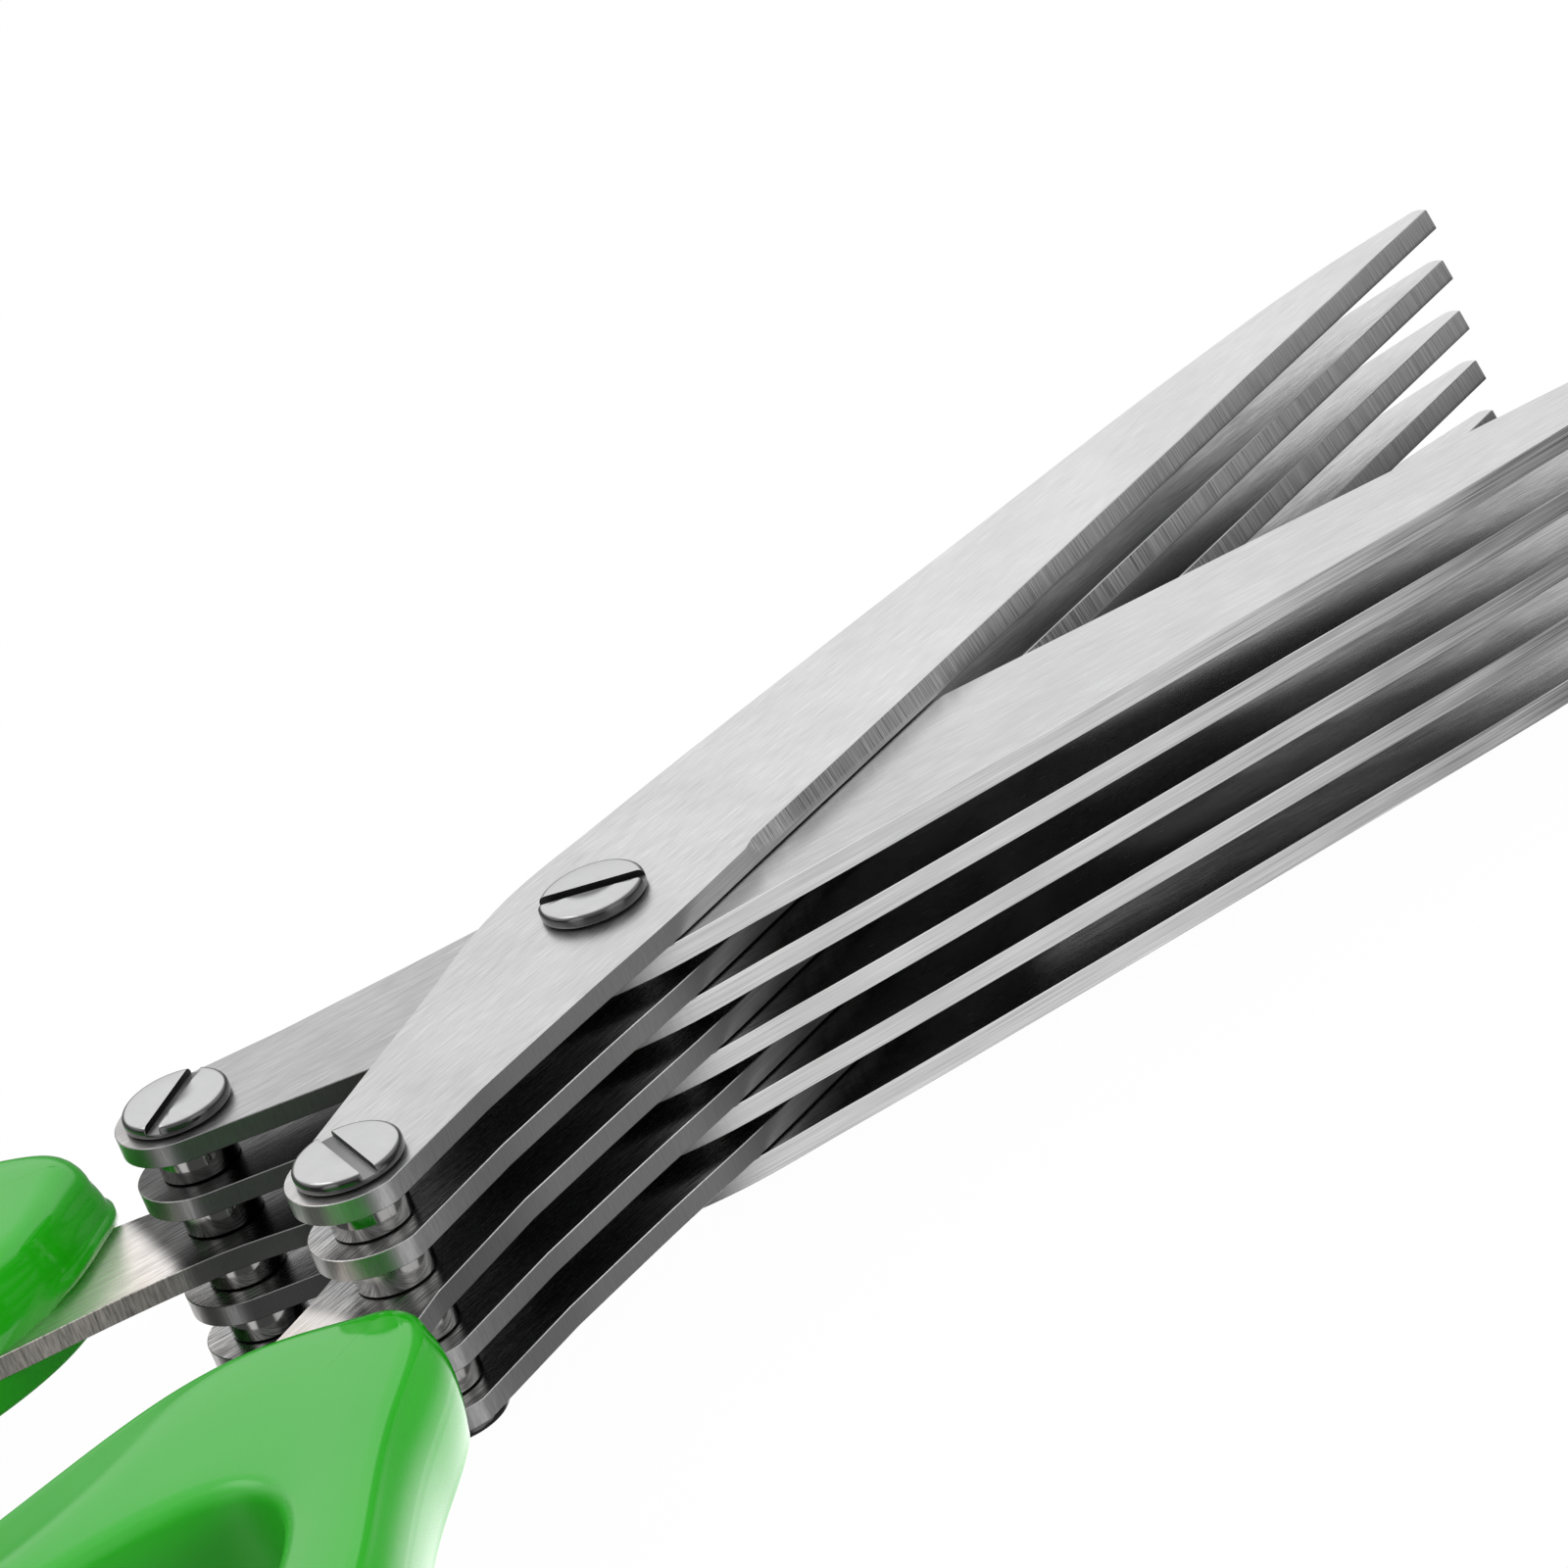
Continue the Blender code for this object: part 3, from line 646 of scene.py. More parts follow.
        # Painted shade where the two stacks cross
        crossing = nodes.times(
            nodes.ramp(spot.across, *self.CROSSING_SIDE), nodes.ramp(spot.reach, *self.CROSSING)
        )
        crossing = nodes.times(crossing, spot.stacked)
        return nodes.times(wall, nodes.math("MULTIPLY_ADD", crossing, -self.CROSSING_SHADE, 1.0))

    def bevel(self, nodes: Nodes, spot: Spot) -> object:
        """How pale the ground edge is: on lower plates the painted shade of the plates above reaches further
        out along the blade.
        """
        depth = nodes.math("SUBTRACT", spot.height, self.TOP)
        open_reach = nodes.math("MULTIPLY_ADD", depth, self.shade_slope, spot.reach)
        # Painted shade from the plates above, and lighter where the grinding starts
        light = nodes.math(
            "ADD", nodes.ramp(open_reach, *self.BEVEL_LIGHT), nodes.ramp(spot.reach, *self.BEVEL_START)
        )
        return nodes.times(light, self.ground_grey)

    def swing(self, nodes: Nodes, spot: Spot) -> object:
        """How much the tool marks lighten and darken the steel."""
        walls = nodes.mix_value(spot.forward, nodes.mix_value(spot.tang, 0.30, 1.20), 1.30)
        faces = nodes.mix_value(
            spot.stacked,
            nodes.ramp(spot.reach, *self.OUTER_SWING),
            nodes.ramp(spot.reach, *self.INNER_SWING),
        )
        faces = nodes.mix_value(spot.tang, faces, 0.45)
        bevels = nodes.ramp(spot.reach, *self.BEVEL_SWING)
        return nodes.mix_value(spot.ground, nodes.mix_value(spot.flat, walls, faces), bevels)

    def inputs(self, nodes: Nodes, effects: Effects) -> dict[str, object]:
        """The shader's inputs by name."""
        spot = self.spot(nodes, effects)
        lines = self.lines(nodes, effects, spot)
        tone = nodes.mix_value(spot.flat, self.wall(nodes, spot), self.face(nodes, spot))
        tone = nodes.mix_value(spot.ground, tone, self.bevel(nodes, spot))
        shift = nodes.times(nodes.math("SUBTRACT", lines, 0.5), self.swing(nodes, spot))
        patches = nodes.patches(effects, 140.0, -0.02, 0.02)
        bright = nodes.math("ADD", nodes.math("MULTIPLY_ADD", tone, shift, tone), patches)
        warm = nodes.mix(nodes.ramp(spot.reach, *self.TANG_WARMTH), grey(1.0), self.WARM)
        inside = nodes.ramp(spot.reach, *self.INNER_ROUGHNESS)
        rough = nodes.mix_value(spot.flat, 0.34, nodes.mix_value(spot.stacked, 0.32, inside))
        rough = nodes.math("ADD", rough, nodes.times(nodes.math("SUBTRACT", 0.5, lines), 0.12))
        return {
            "Base_Color": nodes.mix(1.0, warm, nodes.neutral(bright), blend="MULTIPLY"),
            "Metallic": 1.0,
            "Roughness": rough,
            "Normal": nodes.bump(lines, 0.35, 0.006 * MM),
        }


@dataclass(frozen=True)
class TurnedSteel(Finish):
    """Bright or polished turned steel, with fine scratches, softly worn patches and painted shade on its
    upright walls.
    """

    tint: tuple[float, float, float]
    roughness: float
    worn: float
    wall_shade: float = 0.0
    scratch_scale: float = 2600.0
    patch_scale: float = 900.0
    worn_share: float = 0.90
    wall_share: float = 0.12

    # How upright a face is where the wall's painted shade starts, and where it is full
    UPRIGHT = (0.93, 0.70)

    def shade(self, share: float) -> tuple[float, float, float, float]:
        """The tint, darkened to this share."""
        return (*(share * part for part in self.tint), 1.0)

    def inputs(self, nodes: Nodes, effects: Effects) -> dict[str, object]:
        """The shader's inputs by name."""
        size = self.scratch_scale
        scratch = nodes.marks(effects, nodes.place(), ((size, 0.35 * size, 0.5 * size), 0.5))
        patches = nodes.patches(effects, self.patch_scale)
        colour = nodes.mix(nodes.times(patches, scratch), self.shade(self.worn_share), self.shade(1.0))
        parts = nodes.add("ShaderNodeSeparateXYZ", None, Vector=nodes.normal())
        rise = nodes.math("ABSOLUTE", parts.outputs["Z"])
        # Painted shade on the upright walls
        wall = nodes.ramp(rise, *self.UPRIGHT, 0.0, self.wall_shade)
        rough = nodes.math("MULTIPLY_ADD", patches, self.worn, self.roughness)
        return {
            "Base_Color": nodes.mix(wall, colour, self.shade(self.wall_share)),
            "Metallic": 1.0,
            "Roughness": nodes.math("MULTIPLY_ADD", scratch, 0.5 * self.worn, rough),
            "Normal": nodes.bump(scratch, 0.25, 0.008 * MM),
        }


@dataclass(frozen=True)
class HandlePlastic(Finish):
    """Glossy moulded plastic, dyed through, with the faint waves that moulding leaves."""

    tint: tuple[float, float, float] = (0.010, 0.355, 0.004)
    pale: tuple[float, float, float] = (0.016, 0.378, 0.008)
    roughness: float = 0.07
    grain: float = 0.03
    hollow_grain: float = 0.40

    def inputs(self, nodes: Nodes, effects: Effects) -> dict[str, object]:
        """The shader's inputs by name."""
        patches = nodes.patches(effects, 60.0)
        rough = nodes.math("MULTIPLY_ADD", nodes.patches(effects, 2400.0), self.grain, self.roughness)
        hollow = nodes.add("ShaderNodeAttribute", {"attribute_name": "hollow"}).outputs["Fac"]
        waves = nodes.add("ShaderNodeTexNoise", None, Vector=nodes.place(), Scale=160.0, Detail=1.0)
        return {
            "Base_Color": nodes.mix(patches, (*self.tint, 1.0), (*self.pale, 1.0)),
            "Roughness": nodes.math("MULTIPLY_ADD", hollow, self.hollow_grain, rough),
            "Normal": nodes.bump(waves.outputs[0], 0.05, 0.04 * MM),
            "IOR": 1.62,
            "Subsurface_Weight": 0.10,
            "Subsurface_Radius": (0.2, 1.0, 0.1),
            "Subsurface_Scale": 1.2 * MM,
        }


class Workshop:
    """What every sub-assembly needs: the stack's heights, the finishes, and how a piece is put in."""

    def __init__(self, stack: Stack, ground_angle: float) -> None:
        """Makes the finishes.

        Args:
            stack: The heights of the stack.
            ground_angle: How far the ground edge is turned from the blade's own line, in degrees.
        """
        self.stack = stack
        effects = Effects()
        ground_turn = HALF_OPENING + ground_angle
        steel_a = PlateSteel(HALF_OPENING, ground_turn)
        steel_b = PlateSteel(
            -HALF_OPENING,
            -ground_turn,
            face_grey=0.62,
            rear_shade_share=0.72,
            rear_inner_shade=0.085,
            shade_slope=0.0,
            wall_grey=0.68,
        )
        self.steel = {
            "side_a": steel_a.material("brushed_steel_a", effects),
            "side_b": steel_b.material("brushed_steel_b", effects),
        }
        # Painted shade on the upright walls of the screw heads and sleeve nuts
        bright = TurnedSteel((0.56, 0.56, 0.565), 0.11, 0.08, wall_shade=0.90)
        # The screw slots: a darker tint and full wall shade, painted shade in the recess
        slot_shade = TurnedSteel((0.28, 0.28, 0.28), 0.35, 0.10, wall_shade=1.0)
        polished = TurnedSteel((0.38, 0.375, 0.37), 0.08, 0.06)
        self.slot_shade_steel = slot_shade.material("screw_slot_shade", effects)
        self.finishes = {
            Slot.SCREW: bright.material("bright_screw", effects),
            Slot.SPACER: polished.material("polished_spacer", effects),
            Slot.HANDLE: HandlePlastic().material("glossy_green", effects),
        }

    def put(self, name: str, mesh: bpy.types.Mesh, place: Matrix, body: str, slot: Slot, node: str) -> None:
        """Puts a piece in the model: its place goes into its mesh, and it stands for a node.

        Args:
            name: The piece's name.
            mesh: Its mesh, which is copied.
            place: Where the mesh goes.
            body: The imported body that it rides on.
            slot: The record's slot of its finish.
            node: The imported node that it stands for.
        """
        own = mesh.copy()
        own.name = name
        own.transform(place)
        own.materials.append(self.steel[body] if slot is Slot.BLADE else self.finishes[slot])
        if slot is Slot.SCREW and "screw" in node:
            own.materials.append(self.slot_shade_steel)
        piece = show(bpy.data.objects.new(name, own))
        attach(piece, body)
        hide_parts(node)
        LOG.info("%s: %d faces, rides on %s", name, len(own.polygons), body)


@dataclass(frozen=True)
class Blades:
    """The plates of both sides."""

    reach: float = 88.9 * MM
    spine: float = 7.25 * MM
    edge: float = 6.75 * MM
    tip_width: float = 1.5 * MM
    tip_rise: float = 0.8 * MM
    tip_round: float = 0.8 * MM
    ground_start: float = 7.3 * MM
    ground_inset: float = 0.4 * MM
    ground_runout: float = 1.2 * MM
    land: float = 0.1 * MM
    pin_back: float = 28.3 * MM
    pin_offset: float = 5.9 * MM
    arm_radius: float = 4.3 * MM
    tang_start: float = 33.4 * MM
    tang_spine: float = 2.3 * MM
    tang_width: float = 10.0 * MM
    tang_length: float = 27.5 * MM
    bore: float = 2.1 * MM
    chamfer: float = 0.05 * MM
    bore_steps: int = 48
    arm_steps: int = 28
    arm_angles: tuple = (108, 262)
    corner_angle: float = 70.0
    ground_shares: tuple = (0.34, 0.67, 1.0)
    spine_shares: tuple = (
        (0.905, 0.54), (0.74, 0.75), (0.51, 0.87), (0.28, 0.97), (0.09, 1.01), (-0.017, 0.98),
    )
    arm_shares: tuple = ((0.21, 0.84), (0.39, 0.59), (0.69, 0.21))
    edge_shares: tuple = ((0.69, 1.30), (0.31, 1.18), (0.0, 1.11))
    tang_shares: tuple = (
        (-0.30, -0.28), (-0.12, -0.08), (0.0, 0.0), (0.12, 0.06), (0.45, 0.18), (0.75, 0.32), (1.0, 0.40),
        (1.0, 0.66), (0.95, 0.74), (0.66, 0.81), (0.42, 1.02), (0.20, 1.10), (0.02, 0.97), (-0.16, 0.81),
    )

    def pin(self) -> Array:
        """The rear pin's place in a side's frame."""
        return np.array([-self.pin_back, -self.pin_offset])

    def ground_line(self) -> tuple[Array, Array]:
        """Where the ground stretch of the cutting edge starts and ends."""
        return np.array([self.ground_start, -self.edge]), np.array([self.reach, self.tip_rise])

    def ground_angle(self) -> float:
        """How far that stretch is turned from the blade's own line, in degrees."""
        start, tip = self.ground_line()
        return math.degrees(math.atan2(*(tip - start)[::-1]))

    def outline(self, tang: bool) -> tuple[Array, Array]:
        """A plate's outline, and how far the grinding reaches in at each of its points.

        The cutting edge is straight from its start to the tip. From the tip the spine runs back in one
        smooth curve. The arm ends round about its pin, or runs on as the tang.

        Args:
            tang: Whether the plate has a tang.

        Returns:
            The outline's points, anticlockwise, and the grinding's reach at its top.
        """
        start, tip = self.ground_line()
        share = np.array([0.0, self.ground_runout / np.linalg.norm(tip - start), *self.ground_shares])
        ground = start + share[:, None] * (tip - start)
        middle = np.array([self.reach, self.tip_rise + self.tip_width]) - self.tip_round
        corner = arc(middle, self.tip_round, 0, self.corner_angle, 4)
        spine = np.array(self.spine_shares) * (self.reach, self.spine)
        arm = np.array(self.arm_shares) * (-self.pin_back, self.spine)
        back = np.vstack([corner[:-1], spline(np.vstack([corner[-1:], spine, arm]), 8, False)])
        if tang:
            shares = np.array(self.tang_shares)
            points = np.column_stack([
                -self.tang_start - shares[:, 0] * self.tang_length,
                -self.tang_spine - shares[:, 1] * self.tang_width,
            ])
            end = np.vstack([spline(points[:7], 5, False), spline(points[7:], 5, False)])
        else:
            end = arc(self.pin(), self.arm_radius, *self.arm_angles, self.arm_steps)
        edge = np.array(self.edge_shares) * (-self.pin_back, -self.edge)
        edge = spline(np.vstack([edge, start]), 4, False)[:-1]
        loop = np.vstack([ground, back, end, edge])
        reach = np.zeros(len(loop))
        reach[: len(ground)] = np.minimum(share / share[1], 1.0) * self.ground_inset
        return loop, reach

    def mesh(self, name: str, thickness: float, tang: bool) -> bpy.types.Mesh:
        """A plate: rings of its outline from its underside to its top, with every rim broken by a chamfer.

        Where the edge is ground, the wall stands on a narrow land and leans in from there to the top.

        Args:
            name: The mesh's name.
            thickness: The plate's thickness.
            tang: Whether it has a tang.

        Returns:
            The mesh, centred on z = 0.
        """
        loop, reach = self.outline(tang)
        half, c = thickness / 2, self.chamfer
        low = self.land - half
        slope = (thickness - self.land) / self.ground_inset
        inward = mitres(loop)
        slide = inward.copy()
        ground = reach > 0
        tip = len(self.ground_shares) + 1
        along = loop[tip] - loop[0]
        along = along / np.linalg.norm(along)
        slide[ground] = (-along[1], along[0])
        slide[tip] = (0.0, 1.0 / along[0])
        lean = np.where(ground, np.minimum(low + slope * reach, half - c), 0.0)
        leant = np.where(ground, (lean - low) / slope, 0.0)
        top = np.where(reach >= self.ground_inset, (half - c - low) / slope, reach)
        rings = [
            (loop + inward * c, -half + 0 * reach),
            (loop, c - half + 0 * reach),
            (loop, low + 0 * reach),
            (loop + slide * leant[:, None], lean),
            (loop + slide * top[:, None], half - c + 0 * reach),
            (loop + slide * reach[:, None] + inward * c, half + 0 * reach),
        ]
        points = [np.column_stack(ring) for ring in rings]
        faces = [ring_faces(len(rings), len(loop))]
        steps = self.bore_steps
        wall = ((self.bore + c, -half), (self.bore, c - half), (self.bore, half - c), (self.bore + c, half))
        firsts = []
        for centre in (np.zeros(2), self.pin()):
            firsts.append(sum(map(len, points)))
            faces.append(ring_faces(len(wall), steps, first=firsts[-1]))
            for radius, height in wall:
                circle = arc(centre, radius, 360, 0, steps)[:-1]
                points.append(np.column_stack([circle, np.full(steps, height)]))
        every = np.vstack(points)
        caps = []
        for ring, row in ((0, 0), (len(rings) - 1, len(wall) - 1)):
            outer = np.arange(ring * len(loop), (ring + 1) * len(loop))
            holes = [first + row * steps + np.arange(steps) for first in firsts]
            index = np.concatenate([outer, *holes])
            loops = [list(map(Vector, every[part])) for part in (outer, *holes)]
            caps.append(index[np.array(geometry.tessellate_polygon(loops))])
        quads = np.vstack(faces).tolist()
        return build(name, every, quads + np.vstack(caps).tolist())

    def add(self, shop: Workshop, sides: list[Side]) -> None:
        """Puts the plates of both sides in.

        Args:
            shop: Where the finishes are.
            sides: The two sides.
        """
        stack = shop.stack
        plain = self.mesh("plain_plate", stack.plate, False)
        middle = self.mesh("middle_plate", stack.plate, True)
        for side in sides:
            for index in range(stack.pairs):
                mesh = middle if index == stack.pairs // 2 else plain
                number = side.number(index, stack.pairs)
                place = side.matrix() @ Matrix.Translation((0, 0, stack.plate_height(index)))
                which = f"{side.name}{number}"
                shop.put(f"plate_{which}", mesh, place, side.body, Slot.BLADE, f"blade_{which}")


@dataclass(frozen=True)
class Pins:
    """The pivot and the two rear pins: slotted screws, sleeve nuts and spacers."""

    head_radius: float = 3.55 * MM
    rim: float = 0.42 * MM
    foot: float = 0.18 * MM
    slot_width: float = 1.0 * MM
    slot_depth: float = 0.5 * MM
    sleeve: float = 2.0 * MM
    wall: float = 0.7 * MM
    rear_spacer: float = 2.6 * MM
    pivot_spacer: float = 4.2 * MM
    spacer_rim: float = 0.05 * MM
    slot_rim: float = 0.03 * MM
    leeway: float = 0.01 * MM
    shank_share: float = 0.6
    steps: int = 96
    pivot_slot: float = -40.0
    rear_slots: tuple = (("a", 70.0), ("b", -42.0))

    def screw(self, name: str, stack: Stack, length: float) -> bpy.types.Mesh:
        """A slotted head with a rounded rim, above a shank.

        Args:
            name: The mesh's name.
            stack: The stack's heights.
            length: How far the shank reaches down.

        Returns:
            The mesh, with the head's underside at z = 0.
        """
        shank = self.sleeve - self.wall - stack.clearance
        rim = arc((self.head_radius - self.rim, stack.head - self.rim), self.rim, 90, 0, 8)
        foot = arc((self.head_radius - self.foot, self.foot), self.foot, 0, -90, 3)
        inner = np.array([[0.0, stack.head], [0.5 * self.head_radius, stack.head]])
        tail = np.array([[shank, 0.0], [shank, -length], [0.0, -length]])
        head = turned(name, np.vstack([inner, rim, foot, tail]), self.steps, False)
        reach = self.head_radius + stack.head
        depth, half = stack.head - self.slot_depth, self.slot_width / 2
        levels = (depth, 2 * stack.head)
        box = np.array([(x * reach, y * half, z) for x in (-1, 1) for y in (-1, 1) for z in levels])
        faces = [[0, 1, 3, 2], [4, 6, 7, 5], [0, 4, 5, 1], [2, 3, 7, 6], [0, 2, 6, 4], [1, 5, 7, 3]]
        cutter = show(bpy.data.objects.new("slot_cutter", build("slot_cutter", box, faces)))
        screw = show(bpy.data.objects.new(name, head))
        cut = screw.modifiers.new("slot", "BOOLEAN")
        cut.operation = "DIFFERENCE"
        cut.solver = "EXACT"
        cut.object = cutter
        soft = screw.modifiers.new("soft", "BEVEL")
        soft.width = self.slot_rim
        soft.segments = 2
        soft.limit_method = "ANGLE"
        soft.angle_limit = math.radians(50)
        bpy.context.view_layer.update()
        graph = bpy.context.evaluated_depsgraph_get()
        mesh = bpy.data.meshes.new_from_object(screw.evaluated_get(graph))
        for obj in (cutter, screw):
            bpy.data.objects.remove(obj)
        mesh.shade_smooth()
        mesh.set_sharp_from_angle(angle=SHARP_ANGLE)
        centres = np.empty(3 * len(mesh.polygons))
        mesh.polygons.foreach_get("center", centres)
        x, y, z = centres.reshape(-1, 3).T
        # The slot's faces take the second material, whose darker tint is painted shade
        near = self.leeway
        slot_shade = (abs(y) < half + near) & (z > depth - near) & (z < stack.head - 2 * near)
        slot_shade &= abs(x) < self.head_radius
        mesh.polygons.foreach_set("material_index", slot_shade.astype(np.int32))
        return mesh

    def sleeve_nut(self, name: str, stack: Stack, length: float) -> bpy.types.Mesh:
        """A tube on a flange with a rounded rim.

        Args:
            name: The mesh's name.
            stack: The stack's heights.
            length: The stack that it passes through.

        Returns:
            The mesh, with the flange's top at z = 0.
        """
        bore, top = self.sleeve - self.wall, length - stack.clearance
        tube = np.array([[0.0, 0.0], [bore, 0.0], [bore, top], [self.sleeve, top], [self.sleeve, 0.0]])
        foot = arc((self.head_radius - self.foot, -self.foot), self.foot, 90, 0, 3)
        rim = arc((self.head_radius - self.rim, self.rim - stack.head), self.rim, 0, -90, 8)
        profile = np.vstack([tube, foot, rim, [[0.0, -stack.head]]])
        return turned(name, profile, self.steps, False)

    def spacer(self, name: str, stack: Stack, radius: float, thickness: float) -> bpy.types.Mesh:
        """A ring about a sleeve, with its outer rims rounded.

        Args:
            name: The mesh's name.
            stack: The stack's heights.
            radius: Its outer radius.
            thickness: Its height.

        Returns:
            The mesh, centred on z = 0.
        """
        half, rim = thickness / 2, self.spacer_rim
        upper = arc((radius - rim, half - rim), rim, 90, 0, 4)
        lower = arc((radius - rim, rim - half), rim, 0, -90, 4)
        bore = self.sleeve + stack.clearance
        profile = np.vstack([upper, lower, [[bore, -half], [bore, half]]])
        return turned(name, profile, self.steps, True)

    def add(self, shop: Workshop, sides: list[Side], blades: Blades) -> None:
        """Puts the pivot and both rear pins in.

        Args:
            shop: Where the finishes are.
            sides: The two sides.
            blades: The plates, whose pin places they take.
        """
        stack = shop.stack
        gap = stack.clearance
        pivot_length = stack.height + 2 * gap
        rear_length = stack.side_height + 2 * gap
        high = stack.head + pivot_length
        slot = Matrix.Rotation(math.radians(self.pivot_slot), 4, "Z")
        screw = self.screw("pivot_screw", stack, self.shank_share * pivot_length)
        sleeve = self.sleeve_nut("pivot_sleeve", stack, pivot_length)
        pivot = [("pivot_screw", screw, Matrix.Translation((0, 0, high)) @ slot, Slot.SCREW)]
        pivot.append(("pivot_sleeve", sleeve, Matrix.Translation((0, 0, stack.head)), Slot.SCREW))
        ring = self.spacer("pivot_spacer", stack, self.pivot_spacer, stack.pivot_spacer)
        levels = [((stack.pairs - 2) / 2 - step) * stack.pitch for step in range(stack.pairs - 1)]
        for step, level in enumerate(levels):
            place = Matrix.Translation((0, 0, stack.middle + level))
            pivot.append((f"pivot_spacer_{step + 1}", ring, place, Slot.SPACER))
        for node, mesh, place, kind in pivot:
            shop.put(f"dressed_{node}", mesh, place, "side_b", kind, node)
        screw = self.screw("rear_screw", stack, self.shank_share * rear_length)
        sleeve = self.sleeve_nut("rear_sleeve", stack, rear_length)
        spacer = self.spacer("rear_spacer", stack, self.rear_spacer, stack.pitch - stack.plate - 2 * gap)
        x, y = blades.pin()
        for side in sides:
            up = -1 if side.flipped else 1
            flip = side.over()
            middle = (stack.plate_height(0) + stack.plate_height(stack.pairs - 1)) / 2
            reach = up * (stack.side_height / 2 + gap)
            turn = Matrix.Rotation(math.radians(dict(self.rear_slots)[side.name]), 4, "Z")
            top = side.matrix() @ Matrix.Translation((x, y, middle + reach)) @ turn @ flip
            foot = side.matrix() @ Matrix.Translation((x, y, middle - reach)) @ flip
            pieces = [(f"rear_screw_{side.name}", screw, top, Slot.SCREW)]
            pieces.append((f"rear_sleeve_{side.name}", sleeve, foot, Slot.SCREW))
            for step, level in enumerate(levels):
                place = side.matrix() @ Matrix.Translation((x, y, middle + up * level)) @ flip
                pieces.append((f"rear_spacer_{side.name}{step + 1}", spacer, place, Slot.SPACER))
            for node, mesh, place, kind in pieces:
                shop.put(f"dressed_{node}", mesh, place, side.body, kind, node)


